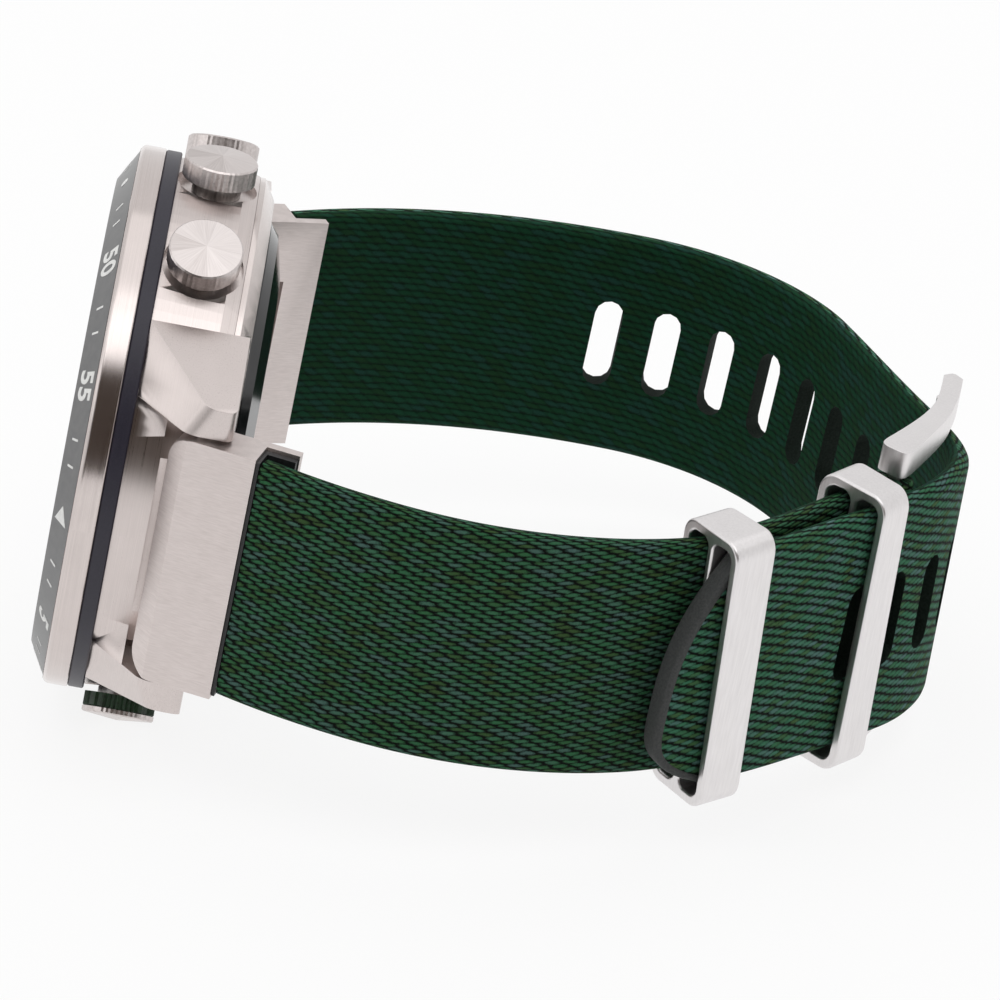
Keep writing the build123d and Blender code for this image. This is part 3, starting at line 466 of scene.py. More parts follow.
def add_piece(name, mesh_work, finishes, replaced, smooth=40.0, place=laid):
    """Turns finished mesh work into a piece on the body of the nodes that it stands for."""
    bmesh.ops.transform(mesh_work, matrix=upright @ place, verts=mesh_work.verts)
    for vertex in mesh_work.verts:
        vertex.co = laid @ settle(vertex.co)
    bmesh.ops.recalc_face_normals(mesh_work, faces=mesh_work.faces)
    mesh = bpy.data.meshes.new(name)
    mesh_work.to_mesh(mesh)
    mesh_work.free()
    for finish in finishes:
        mesh.materials.append(finish)
    mesh.shade_smooth()
    mesh.set_sharp_from_angle(angle=radians(smooth))
    piece = bpy.data.objects.new(name, mesh)
    bpy.context.scene.collection.objects.link(piece)
    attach(piece, body_of(replaced[0]))
    return piece


def softened(name, width, finish, shape=None, clamp=True, smooth=40.0):
    """A CAD piece with its hard edges eased, after a change of shape where one is given."""
    work = bmesh.new()
    work.from_mesh(nodes[name].data)
    bmesh.ops.remove_doubles(work, verts=work.verts, dist=2 * touch * mm)
    bmesh.ops.dissolve_limit(work, angle_limit=radians(1.0), verts=work.verts, edges=work.edges)
    if shape:
        shape(work)
    piece = add_piece(name + "_eased", work, [finish], [name], smooth, Matrix.Identity(4))
    if width:
        bevel = piece.modifiers.new("eased_edges", "BEVEL")
        bevel.width = width * mm
        bevel.segments = 2
        bevel.limit_method = "ANGLE"
        bevel.angle_limit = radians(sharp_angle)
        bevel.harden_normals = True
        bevel.use_clamp_overlap = clamp
    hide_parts(name)


def cut(work, place, direction):
    everything = work.verts[:] + work.edges[:] + work.faces[:]
    bmesh.ops.bisect_plane(work, geom=everything, plane_co=place, plane_no=direction)


def pull(work, faces, move):
    """Extrudes faces along a move, and gives the new corners and the new faces."""
    made = bmesh.ops.extrude_face_region(work, geom=faces)["geom"]
    corners = [item for item in made if isinstance(item, bmesh.types.BMVert)]
    bmesh.ops.translate(work, vec=move, verts=corners)
    return corners, [item for item in made if isinstance(item, bmesh.types.BMFace)]


def sharp_edges(work, *axes):
    """The sharp edges whose two ends have the same place along each of the given axes."""
    return [edge for edge in work.edges if edge.calc_face_angle(0.0) > sharp_turn
            and all(abs(edge.verts[0].co[axis] - edge.verts[1].co[axis]) < near for axis in axes)]


def ease(work, edges, width, steps):
    """Rounds edges by a width in the mesh work's own units."""
    bmesh.ops.bevel(work, geom=edges, offset=width, offset_type="OFFSET", affect="EDGES",
                    segments=steps, profile=0.5, material=-1, clamp_overlap=True)


def join(target, part):
    """Adds mesh work to other mesh work and frees it."""
    spare = bpy.data.meshes.new("mark")
    part.to_mesh(spare)
    part.free()
    target.from_mesh(spare)
    bpy.data.meshes.remove(spare)


# ------------------------------------------------------------ strap routes


def walk(start, heading, arcs, distance):
    """Place and heading at a distance along a chain of (length, turn) arcs."""
    x, y = start
    for number, (length, turn) in enumerate(arcs):
        last = number == len(arcs) - 1
        step = distance if last else min(length, distance)
        if turn == 0:
            x += step * cos(radians(heading))
            y += step * sin(radians(heading))
        else:
            radius = length / radians(turn)
            angle = heading + degrees(step / radius)
            x += radius * (sin(radians(angle)) - sin(radians(heading)))
            y -= radius * (cos(radians(angle)) - cos(radians(heading)))
            heading = angle
        distance -= step
        if distance <= 0:
            break
    return x, y, heading


def aside(pose, outward):
    """A pose moved to the outer side of its heading."""
    x, y, heading = pose
    return x + outward * sin(radians(heading)), y - outward * cos(radians(heading)), heading


def strap_root(side):
    """Where the strap's middle leaves a link."""
    tilt = radians(near_tilt if side < 0 else far_tilt)
    along = Vector((cos(tilt), side * sin(tilt)))
    outward = Vector((-sin(tilt), side * cos(tilt)))
    reach = link_length + link_lip + link_play + strap_thickness / 2 * sin(radians(strap_bend))
    spot = Vector((pin_x, side * pin_y)) + along * reach + outward * strap_line
    return spot.x, spot.y


def tail_arcs():
    """Arcs of the outer layer, concentric with the short strap from the tip to the pin."""
    arcs = []
    station = 0.0
    for number, (length, turn) in enumerate(short_arcs):
        end = station + length
        stop = buckle_station if number == len(short_arcs) - 1 else end
        part = stop - max(station, tip_station)
        if part > 0:
            bend = turn * part / length
            arcs.append((part + layer_pitch * radians(bend), bend))
        station = end
    return arcs


def closing_arcs(start, finish, finish_heading):
    """Heel, straight run, shoulder and far run that join the pin to the far link."""
    x, y, heading = start
    heel_turn = finish_heading - heading - shoulder_turn - far_turn
    arcs = [
        (heel_radius * radians(heel_turn), heel_turn),
        (1.0, 0.0),
        (shoulder_radius * radians(shoulder_turn), shoulder_turn),
        (far_radius * radians(far_turn), far_turn),
        (1.0, 0.0),
    ]
    total = sum(length for length, turn in arcs)
    end_x, end_y = walk((x, y), heading, arcs, total)[:2]
    miss = Vector((finish[0] - end_x, finish[1] - end_y))
    first = radians(heading + heel_turn)
    second = radians(finish_heading)
    scale = cos(first) * sin(second) - sin(first) * cos(second)
    arcs[1] = (1.0 + (miss.x * sin(second) - miss.y * cos(second)) / scale, 0.0)
    arcs[4] = (1.0 + (miss.y * cos(first) - miss.x * sin(first)) / scale, 0.0)
    return arcs


short_start = strap_root(-1)
short_heading = -near_tilt - strap_bend
short_length = sum(length for length, turn in short_arcs)
buckle_station = short_length + eye_radius
buckle_pose = walk(short_start, short_heading, short_arcs, buckle_station)
tip_pose = aside(walk(short_start, short_heading, short_arcs, tip_station), layer_pitch)
tail = tail_arcs()
tail_length = sum(length for length, turn in tail)
over_pin = walk(tip_pose[:2], tip_pose[2], tail, tail_length)
long_arcs = tail + closing_arcs(over_pin, strap_root(1), 180.0 + far_tilt + strap_bend)
long_length = sum(length for length, turn in long_arcs)
slot_stations = [
    tail_length + slot_at_tongue + slot_pitch * number
    + max(0.0, min(most_creep, -slot_creep * number))
    for number in range(-slots_behind, slots_ahead + 1)
]


def on_short(station):
    return walk(short_start, short_heading, short_arcs, station)


def on_long(station):
    return walk(tip_pose[:2], tip_pose[2], long_arcs, station)


# ------------------------------------------------------------ straps

half_slot = slot_length / 2
slot_steps = 6
slot_margin = 0.3
end_margin = 0.1
slot_round = 0.22
edge_round = 0.72
edge_band = 0.75
rows_across = (2.0, 6.2, 7.8, 9.0)
tongue_notch = 1.2
eye_play = 0.1
eye_rim = 0.25
tip_inset = 0.7
tip_drop = 3.0
tip_fade = 16.0
upper_bow = 4.5
upper_power = 2.4
lower_bow = 6.5
lower_power = 4.2
binding_width = 0.8
binding_slices = 48
binding_proud = 0.12
binding_round = 0.35
binding_over = 0.1
most_stretch = 3.0
probe = 0.05


def open_slots(work, length, slots, notch):
    """Cuts a flat sheet into rows and takes out the square slots and the notch."""
    half_gap = slot_width / 2
    stations = [number + 0.0 for number in range(1, int(length))]
    stations = [x for x in stations if all(abs(x - slot) > half_gap + slot_margin for slot in slots)]
    for slot in slots:
        for step in range(slot_steps + 1):
            stations.append(slot + half_gap * (2 * step / slot_steps - 1))
    if notch:
        stations.append(length - notch)
    for x in stations:
        cut(work, (x, 0, 0), (1, 0, 0))
    for z in (*rows_across, half_slot, half_slot - half_gap):
        cut(work, (0, 0, z), (0, 0, 1))
        cut(work, (0, 0, -z), (0, 0, 1))

    def is_open(spot):
        if abs(spot.z) > half_slot:
            return False
        return spot.x > length - notch or any(abs(spot.x - slot) < half_gap for slot in slots)

    openings = [each for each in work.faces if is_open(each.calc_center_median())]
    bmesh.ops.delete(work, geom=openings, context="FACES")


def round_slots(work, slots):
    """Brings the ends of the square slots to half circles."""
    half_gap = slot_width / 2
    for vertex in work.verts:
        spot = vertex.co
        near_slot = [slot for slot in slots if abs(spot.x - slot) < half_gap + touch]
        if near_slot and abs(abs(spot.z) - half_slot) < touch:
            turn = (spot.x - near_slot[0]) / half_gap * pi / 2
            spot.x = near_slot[0] + half_gap * sin(turn)
            height = half_slot - half_gap * (1 - cos(turn))
            spot.z = height if spot.z > 0 else -height


def flat_strap(length, slots, notch=0.0):
    """A flat strap with round-ended slots, x along it, y through it and z across it.

    A notch is left open in the middle of the far end.
    """
    work = bmesh.new()
    bmesh.ops.create_grid(work, x_segments=1, y_segments=1, size=0.5)
    bmesh.ops.scale(work, vec=(length, strap_width, 1), verts=work.verts)
    bmesh.ops.rotate(work, matrix=Matrix.Rotation(pi / 2, 3, "X"), verts=work.verts)
    bmesh.ops.translate(work, vec=(length / 2, -strap_thickness / 2, 0), verts=work.verts)
    open_slots(work, length, slots, notch)
    round_slots(work, slots)
    pull(work, work.faces[:], (0, strap_thickness, 0))
    bmesh.ops.recalc_face_normals(work, faces=work.faces)
    rims = sharp_edges(work, 1)
    outer = [edge for edge in rims if min(abs(end.co.z) for end in edge.verts) > half_strap - near]
    inner = [edge for edge in rims if edge not in outer
             and end_margin < (edge.verts[0].co.x + edge.verts[1].co.x) / 2 < length - end_margin]
    for edges, width, steps in ((inner, slot_round, 2), (outer, edge_round, 4)):
        edges = [edge for edge in edges if edge.is_valid]
        if edges:
            ease(work, edges, width, steps)
    return work


def tip_bow(across):
    """How far the rounded tip draws back from its foremost point, which lies below the middle."""
    reach = across + tip_drop
    if reach > 0:
        return tip_inset + upper_bow * (reach / (half_strap + tip_drop)) ** upper_power
    return tip_inset + lower_bow * (-reach / (half_strap - tip_drop)) ** lower_power


def round_tip(work):
    for vertex in work.verts:
        share = max(0.0, 1.0 - vertex.co.x / tip_fade)
        vertex.co.x += tip_bow(vertex.co.z) * share


def map_weave(work):
    """Lays the weave's map on a flat strap, running round both long edges.

    The outer side takes the first finish, the inner side the second and the slots the third.
    """
    layer = work.loops.layers.uv.new("weave")
    half = strap_thickness / 2
    for each in work.faces:
        middle = each.calc_center_median()
        outside = middle.y >= 0.0
        each.material_index = 0 if outside else 1
        # Slot walls take the third finish, which is painted shade.
        if abs(each.normal.y) < 0.6 and abs(middle.z) < half_slot + 0.2:
            each.material_index = 2
        for loop in each.loops:
            spot = loop.vert.co
            depth = half - spot.y if outside else spot.y + half
            on_edge = abs(spot.z) > half_strap - edge_band or abs(each.normal.y) < 0.5
            wall = depth if on_edge else 0.0
            across = spot.z + (wall if spot.z > 0 else -wall)
            loop[layer].uv = (spot.x / map_unit, across / map_unit)


def wrap(work, pose_at):
    """Bends flat work along its route."""
    for vertex in work.verts:
        station, through, across = vertex.co
        x, y, heading = aside(pose_at(station), through)
        vertex.co = (x, y, across)


def rolled_eye(low, high):
    """A sleeve of strap rolled round the buckle pin, between two heights."""
    inner = buckle_pin_radius + eye_play
    outline = (
        (inner, low),
        (eye_radius - eye_rim, low),
        (eye_radius, low + eye_rim),
        (eye_radius, high - eye_rim),
        (eye_radius - eye_rim, high),
        (inner, high),
    )
    roll = bmesh.new()
    section = roll.faces.new([roll.verts.new((reach, 0, level)) for reach, level in outline])
    edges = section.edges[:]
    bmesh.ops.delete(roll, geom=[section], context="FACES_ONLY")
    bmesh.ops.spin(roll, geom=edges, cent=(0, 0, 0), axis=(0, 0, 1), angle=2 * pi, steps=40,
                   use_merge=True)
    bmesh.ops.remove_doubles(roll, verts=roll.verts, dist=touch)
    layer = roll.loops.layers.uv.new("weave")
    for each in roll.faces:
        middle = each.calc_center_median()
        for loop in each.loops:
            spot = loop.vert.co
            turn = atan2(spot.y, spot.x)
            if abs(turn - atan2(middle.y, middle.x)) > pi:
                turn += 2 * pi if turn < 0 else -2 * pi
            loop[layer].uv = (turn * eye_radius / map_unit, spot.z / map_unit)
    bmesh.ops.translate(roll, vec=(buckle_pose[0], buckle_pose[1], 0), verts=roll.verts)
    return roll


def make_short_strap():
    """Inner strap, notched for the tongue, and the two sleeves of its rolled eye."""
    work = flat_strap(short_length + eye_lap, [], tongue_notch)
    map_weave(work)
    wrap(work, on_short)
    piece = add_piece("near_strap", work, [near_weave, inner_weave, slot_shade], ["short_strap"])
    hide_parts("short_strap")
    for label, low, high in (("upper", half_slot, half_strap), ("lower", -half_strap, -half_slot)):
        sleeve = add_piece("eye_" + label, rolled_eye(low, high), [near_weave], ["short_strap"])
        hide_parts("short_strap")


def make_long_strap():
    """Outer strap from the rounded tip to the far link, with its row of slots."""
    work = flat_strap(long_length, slot_stations)
    round_tip(work)
    map_weave(work)
    wrap(work, on_long)
    piece = add_piece("far_strap", work, [tail_weave, inner_weave, slot_shade], ["long_strap"])
    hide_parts("long_strap")


def make_binding():
    """Bound edge round the tip, a little thicker than the strap."""
    half = strap_thickness / 2 + binding_proud
    work = bmesh.new()
    bmesh.ops.create_cube(work, size=1.0)
    bmesh.ops.scale(work, vec=(1.0, 2 * half, strap_width + binding_over), verts=work.verts)
    for number in range(1, binding_slices):
        cut(work, (0, 0, -half_strap + strap_width * number / binding_slices), (0, 0, 1))
    ease(work, sharp_edges(work, 0, 1), binding_round, 3)
    for vertex in work.verts:
        across = vertex.co.z
        lean = (tip_bow(across + probe) - tip_bow(across - probe)) / (2 * probe)
        stretch = min(sqrt(1.0 + lean * lean), most_stretch)
        inner_side = vertex.co.x + 0.5
        vertex.co.x = -binding_proud + tip_bow(across) + inner_side * binding_width * stretch
    wrap(work, on_long)
    piece = add_piece("tip_edging", work, [dark_binding], ["tip_binding"])
    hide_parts("tip_binding")


make_short_strap()
make_long_strap()
make_binding()

# ------------------------------------------------------------ eased metal pieces

horn_corner = 0.9
horn_corner_height = 1.2
horn_corner_slant = 2.5
horn_ridge = 0.2
horn_ridge_angle = 20.0
horn_root_y = 16.2
horn_broad_y = 17.0
horn_broad_area = 12.0
horn_end_y = 25.1
horn_side_z = 12.5
horn_back_x = 9.2
horn_corner_x = 8.5
tongue_back_x = 72.2
tongue_thinning = 0.35


def is_horn_corner(edge):
    """Whether an edge stands upright at the end of a horn."""
    first, second = (end.co for end in edge.verts)
    at_end = min(abs(first.y), abs(second.y)) > horn_end_y
    in_front = max(first.x, second.x) < horn_corner_x
    upright_enough = (abs(first.z - second.z) > horn_corner_height
                      and abs(first.x - second.x) < horn_corner_slant)
    return at_end and in_front and upright_enough


def is_horn_face(each):
    """Whether a face is one of the broad ones on a horn's side."""
    return (abs(each.normal.z) > 0.6 and each.calc_area() > horn_broad_area
            and abs(each.calc_center_median().y) > horn_broad_y)


def is_horn_ridge(edge):
    """Whether an edge is part of the ridge round a horn's broad face."""
    ends = [end.co for end in edge.verts]
    if len(edge.link_faces) != 2 or min(abs(end.y) for end in ends) < horn_root_y:
        return False
    return (sum(is_horn_face(each) for each in edge.link_faces) == 1
            and edge.calc_face_angle_signed(0.0) > radians(horn_ridge_angle)
            and min(abs(end.z) for end in ends) > horn_side_z
            and max(end.x for end in ends) < horn_back_x)


def ease_horns(work):
    """Rounds the corner of each horn's end and breaks the ridge round its broad face."""
    bmesh.ops.transform(work, matrix=upright, verts=work.verts)
    ease(work, [edge for edge in work.edges if is_horn_corner(edge)], horn_corner, 8)
    work.normal_update()
    ease(work, [edge for edge in work.edges if is_horn_ridge(edge)], horn_ridge, 2)
    work.normal_update()
    bmesh.ops.transform(work, matrix=laid, verts=work.verts)


def flatten_tongue(work):
    """Thins the tongue's plate where it lies over the strap."""
    bmesh.ops.transform(work, matrix=upright, verts=work.verts)
    for vertex in work.verts:
        thinned = tongue_back_x + (vertex.co.x - tongue_back_x) * tongue_thinning
        vertex.co.x = min(vertex.co.x, thinned)
    bmesh.ops.transform(work, matrix=laid, verts=work.verts)


softened("mid_case", 0.0, case_titanium, shape=ease_horns, smooth=15.0)
softened("bezel_ring", 0.16, turned_titanium, clamp=False)
softened("rear_cover", 0.12, turned_titanium)
softened("near_link", 0.4, link_titanium)
softened("far_link", 0.45, link_titanium)
softened("keeper_near", 0.32, keeper_metal)
softened("keeper_far", 0.32, keeper_metal)
softened("buckle_tongue", 0.3, keeper_metal, shape=flatten_tongue)
softened("buckle_pin", 0.12, steel)

# ------------------------------------------------------------ pushers

cap_lift = 0.04
cap_shoulder = 0.25
pocket_rim = 0.45
pocket_depth = 1.0
pocket_share = 0.8
skirt_play = 0.02
wedge_sag = 0.9
disc_map_unit = 3.0


def reach_along(name, direction):
    """Nearest and furthest of a node's points along a direction from the watch's centre."""
    reaches = [point.dot(direction) for point in node_points(name)]
    return min(reaches), max(reaches)


def crown_wedges(work, face, high):
    """Turns a flat top into flat wedges that rise to the middle."""
    tip = bmesh.ops.poke(work, faces=[face])["verts"][0]
    tip.co.z = high + cap_crown
    half_wedge = pi / cap_wedges
    for vertex in work.verts:
        if vertex is not tip and abs(vertex.co.z - high) < touch:
            turn = atan2(vertex.co.y, vertex.co.x) % (2 * half_wedge) - half_wedge
            vertex.co.z = high + cap_crown * (1 - cos(turn) / cos(half_wedge)) * wedge_sag


def map_disc(work):
    """Lays a map on a disc: the turn as a share of one, and the reach in the map's unit."""
    layer = work.loops.layers.uv.new("cap")
    for each in work.faces:
        middle = each.calc_center_median()
        turn = atan2(middle.y, middle.x) / (2 * pi) % 1.0
        for loop in each.loops:
            spot = loop.vert.co
            own = atan2(spot.y, spot.x) / (2 * pi) % 1.0 if spot.xy.length > 0.01 else turn
            if abs(own - turn) > 0.5:
                own += 1.0 if own < turn else -1.0
            loop[layer].uv = (own, spot.xy.length / disc_map_unit)


def fluted_disc(radius, low, high, chamfer, flute, topped):
    """A closed disc with a finely fluted side, its axis along z."""
    work = bmesh.new()
    bmesh.ops.create_circle(work, cap_ends=True, segments=cap_flutes, radius=radius)
    bmesh.ops.translate(work, vec=(0, 0, low), verts=work.verts)
    faces = work.faces[:]
    for rise, scale in ((high - low - chamfer, 1.0), (chamfer, (radius - chamfer) / radius)):
        corners, faces = pull(work, faces[:1], (0, 0, rise))
        bmesh.ops.scale(work, vec=(scale, scale, 1), verts=corners)
    for vertex in work.verts:
        if abs(vertex.co.xy.length - radius) < touch:
            step = round(atan2(vertex.co.y, vertex.co.x) / (2 * pi / cap_flutes))
            if step % 2:
                vertex.co.x *= 1 - flute / radius
                vertex.co.y *= 1 - flute / radius
    if topped:
        crown_wedges(work, faces[0], high)
    map_disc(work)
    for each in work.faces:
        on_top = topped and each.calc_center_median().z > high + touch
        each.material_index = 0 if on_top else 1
    return work


def hollow_under(work, depth):
    """A pocket in the underside that clears the sleeve when the pusher is in."""
    low = min(vertex.co.z for vertex in work.verts)
    under = [each for each in work.faces if each.normal.z < -0.9
             and each.calc_center_median().z < low + 0.02]
    bmesh.ops.inset_region(work, faces=under, thickness=pocket_rim, depth=0.0)
    pocket = bmesh.ops.extrude_face_region(work, geom=under)["geom"]
    bmesh.ops.delete(work, geom=under, context="FACES_ONLY")
    bmesh.ops.translate(work, vec=(0, 0, depth),
                        verts=[item for item in pocket if isinstance(item, bmesh.types.BMVert)])


def make_pusher(label):
    """A pusher's cap, and on the start pusher the green skirt below it."""
    cap = "cap_" + label
    joint = next(each for each in record["behaviour"]["joints"] if each["name"] == "press_" + label)
    outward = -(upright.to_3x3().normalized() @ Vector(joint["axis"])).normalized()
    low, high = reach_along(cap, outward)
    middle = node_middle(cap)
    middle -= outward * middle.dot(outward)
    across = outward.cross(Vector((1, 0, 0)))
    turn = Matrix((Vector((1, 0, 0)), -across, outward)).transposed().to_4x4()
    place = laid @ Matrix.Translation(middle) @ turn
    top = high - cap_shoulder
    if label == "start":
        ring_low, ring_high = reach_along("accent_ring", outward)
        ring_low += cap_lift
        work = fluted_disc(cap_radius, ring_high, top, chamfer=0.12, flute=0.04, topped=True)
        skirt = fluted_disc(cap_radius - skirt_play, ring_low, ring_high - skirt_play,
                            chamfer=0.1, flute=0.16, topped=False)
        hollow_under(skirt, min(pocket_depth, (ring_high - ring_low) * pocket_share))
        ring = add_piece("accent_knurl", skirt, [green_accent, green_accent], ["accent_ring"],
                         12.0, place)
        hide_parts("accent_ring")
    else:
        work = fluted_disc(cap_radius, low + cap_lift, top, chamfer=0.14, flute=0.03, topped=True)
        hollow_under(work, pocket_depth)
    piece = add_piece("button_" + label, work, [sunray_metal, pusher_metal], [cap], 1.2, place)
    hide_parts(cap)


for label in pusher_labels:
    make_pusher(label)

# ------------------------------------------------------------ buckle

arm_length = 21.8
arm_thickness = 2.2
arm_round = 0.5
arm_bend = Vector((5.0, 8.2))
arm_end_inset = 1.0
arm_taper = 1.4
head_length = 1.7
head_half = 1.55
head_share = 0.2
tail_half = 0.85
bar_radius = 0.75
bar_inset = 0.4
bar_lap = 0.6


def arm_outline(place):
    """Reach along an arm and half its width there, for places from 0 at the head to 1."""
    if place > head_share:
        reach = (place - head_share) / (1.0 - head_share) * (arm_length + tail_half * 0.98)
    else:
        reach = -head_length * cos(pi * place / (2 * head_share))
    if reach < 0:
        return reach, head_half * max(0.0, 1.0 - (reach / head_length) ** 4) ** 0.25
    if reach > arm_length:
        return reach, sqrt(max(0.0, tail_half ** 2 - (reach - arm_length) ** 2))
    taper = min(1.0, reach / arm_length * arm_taper)
    return reach, head_half + (tail_half - head_half) * taper


def buckle_arm(start, end, top):
    """A flat bar with rounded ends that follows a curve from the pin to the cross bar."""
    bend = start + arm_bend
    work = bmesh.new()
    bmesh.ops.create_grid(work, x_segments=40, y_segments=2, size=0.5)
    for vertex in work.verts:
        reach, half = arm_outline(vertex.co.x + 0.5)
        share = max(0.0, min(1.0, reach / arm_length))
        spot = start * (1 - share) ** 2 + bend * 2 * share * (1 - share) + end * share ** 2
        way = ((bend - start) * (1 - share) + (end - bend) * share).normalized()
        spot = spot + way * (reach - share * arm_length)
        side = Vector((-way.y, way.x)) * half * vertex.co.y * 2
        vertex.co = (spot.x + side.x, spot.y + side.y, top - arm_thickness)
    bmesh.ops.remove_doubles(work, verts=work.verts, dist=near)
    pull(work, work.faces[:], (0, 0, arm_thickness))
    bmesh.ops.recalc_face_normals(work, faces=work.faces)
    ease(work, sharp_edges(work, 2), arm_round, 5)
    return work


def make_buckle():
    """Two curved arms and the cross bar between their tips."""
    points = node_points("buckle_frame")
    arm_top = max(point.z for point in points)
    start = Vector(buckle_pose[:2])
    end = Vector((max(point.x for point in points) - arm_end_inset,
                  max(point.y for point in points) - arm_end_inset))
    for label, top in (("upper", arm_top), ("lower", arm_thickness - arm_top)):
        work = buckle_arm(start, end, top)
        piece = add_piece("buckle_arm_" + label, work, [keeper_metal], ["buckle_frame"], 50.0)
        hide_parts("buckle_frame")
    work = bmesh.new()
    bmesh.ops.create_cone(work, cap_ends=True, segments=32, radius1=bar_radius,
                          radius2=bar_radius, depth=2 * (arm_top - arm_thickness) + bar_lap)
    bmesh.ops.translate(work, vec=(end.x - bar_inset, end.y - bar_inset, 0), verts=work.verts)
    piece = add_piece("buckle_bar", work, [keeper_metal], ["buckle_frame"])
    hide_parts("buckle_frame")


make_buckle()

# ------------------------------------------------------------ bezel and dial marks

slope_angle = atan2(inlay_rise, inlay_outer - inlay_inner)
inlay_middle = (inlay_inner + inlay_outer) / 2
mark_proud = 0.05
mark_thickness = 0.09
numeral_size = 2.75
numeral_weight = 0.05
triangle_reach = 1.15
triangle_squash = 0.85
dot_radius = 0.42
tick_reach = 0.62
tick_squash = 0.22
dial_mark_thickness = 0.06
dial_mark_lift = 0.04


def on_inlay(angle, rise, lift):
    """A point of the sloping inlay: degrees clockwise from 12, mm up the slope, mm proud."""
    radius = inlay_middle + rise * cos(slope_angle) - lift * sin(slope_angle)
    x = dial_x + inlay_rise / 2 + rise * sin(slope_angle) - lift * cos(slope_angle)
    turn = radians(angle)
    return Vector((x, -radius * cos(turn), -radius * sin(turn)))


def add_flat(target, flat, angle):
    """Sets flat artwork, x clockwise and y outwards, on the inlay at an angle."""
    pull(flat, flat.faces[:], (0, 0, -mark_thickness))
    for vertex in flat.verts:
        spot = vertex.co
        own_angle = angle + degrees(spot.x / inlay_middle)
        vertex.co = on_inlay(own_angle, spot.y, mark_proud + spot.z)
    join(target, flat)


def numeral(text):
    """A number as flat artwork."""
    curve = bpy.data.curves.new("numeral", "FONT")
    curve.body = text
    curve.size = numeral_size
    curve.offset = numeral_weight
    curve.align_x = "CENTER"
    curve.align_y = "CENTER"
    holder = bpy.data.objects.new("numeral", curve)
    bpy.context.scene.collection.objects.link(holder)
    graph = bpy.context.evaluated_depsgraph_get()
    mesh = bpy.data.meshes.new_from_object(holder.evaluated_get(graph))
    flat = bmesh.new()
    flat.from_mesh(mesh)
    bmesh.ops.remove_doubles(flat, verts=flat.verts, dist=touch / 2)
    bpy.data.objects.remove(holder)
    bpy.data.meshes.remove(mesh)
    return flat


def polygon(sides, radius, turn=0.0, squash=1.0):
    """A flat polygon, turned and then squashed sideways."""
    flat = bmesh.new()
    bmesh.ops.create_circle(flat, cap_ends=True, segments=sides, radius=radius)
    bmesh.ops.rotate(flat, matrix=Matrix.Rotation(turn, 3, "Z"), verts=flat.verts)
    bmesh.ops.scale(flat, vec=(squash, 1, 1), verts=flat.verts)
    return flat


def make_bezel_marks():
    """A triangle at 12, a dot at each other quarter, numbers every five minutes, and ticks."""
    marks = bmesh.new()
    add_flat(marks, polygon(3, triangle_reach, pi / 2, triangle_squash), 0.0)
    for minute in range(1, 60):
        angle = minute * 6.0
        if minute % 15 == 0:
            add_flat(marks, polygon(20, dot_radius), angle)
        elif minute % 5 == 0:
            add_flat(marks, numeral(str(minute)), angle)
        elif minute % 5 in (2, 3):
            add_flat(marks, polygon(4, tick_reach, pi / 4, tick_squash), angle)
    piece = add_piece("bezel_marks", marks, [mark_white], ["bezel_inlay"], 30.0)


def dial_bar(front, width, length, start, angle, lift=0.0, taper=1.0):
    """A flat mark or hand that starts a distance out from the middle, clockwise by an angle."""
    bar = bmesh.new()
    bmesh.ops.create_cube(bar, size=1.0)
    bmesh.ops.scale(bar, vec=(dial_mark_thickness, width, length), verts=bar.verts)
    for vertex in bar.verts:
        if vertex.co.z > 0:
            vertex.co.y *= taper
    bmesh.ops.translate(bar, vec=(0, 0, start + length / 2), verts=bar.verts)
    bmesh.ops.rotate(bar, matrix=Matrix.Rotation(radians(90 + angle), 3, "X"), verts=bar.verts)
    bmesh.ops.translate(bar, vec=(front - dial_mark_lift - lift, 0, 0), verts=bar.verts)
    return bar


def make_dial():
    """Hour marks and hands on the display, under the crystal."""
    front = min(point.x for point in node_points("display_module"))
    work = bmesh.new()
    for hour in range(12):
        width = 0.9 if hour % 3 == 0 else 0.5
        join(work, dial_bar(front, width, length=2.2, start=14.6, angle=hour * 30))
    for minute in range(60):
        if minute % 5:
            join(work, dial_bar(front, width=0.16, length=1.0, start=16.2, angle=minute * 6))
    hour_hand = dial_bar(front, width=1.3, length=9.5, start=-1.5, angle=304, lift=0.1, taper=0.6)
    join(work, hour_hand)
    minute_hand = dial_bar(front, width=1.0, length=14.5, start=-1.5, angle=54, lift=0.2, taper=0.5)
    join(work, minute_hand)
    piece = add_piece("dial_marks", work, [mark_white], ["display_module"], 30.0)


# ------------------------------------------------------------ light sensor

dark_lens_radius = 1.5
dark_lens_step = 4.6
green_lens_radius = 0.8
green_lens_step = 4.0
lens_thickness = 0.16
lens_chamfer = 0.12
sensor_ring_inner = 6.9
sensor_ring_outer = 7.4
sensor_ring_thickness = 0.14
sensor_ring_sunk = 0.08


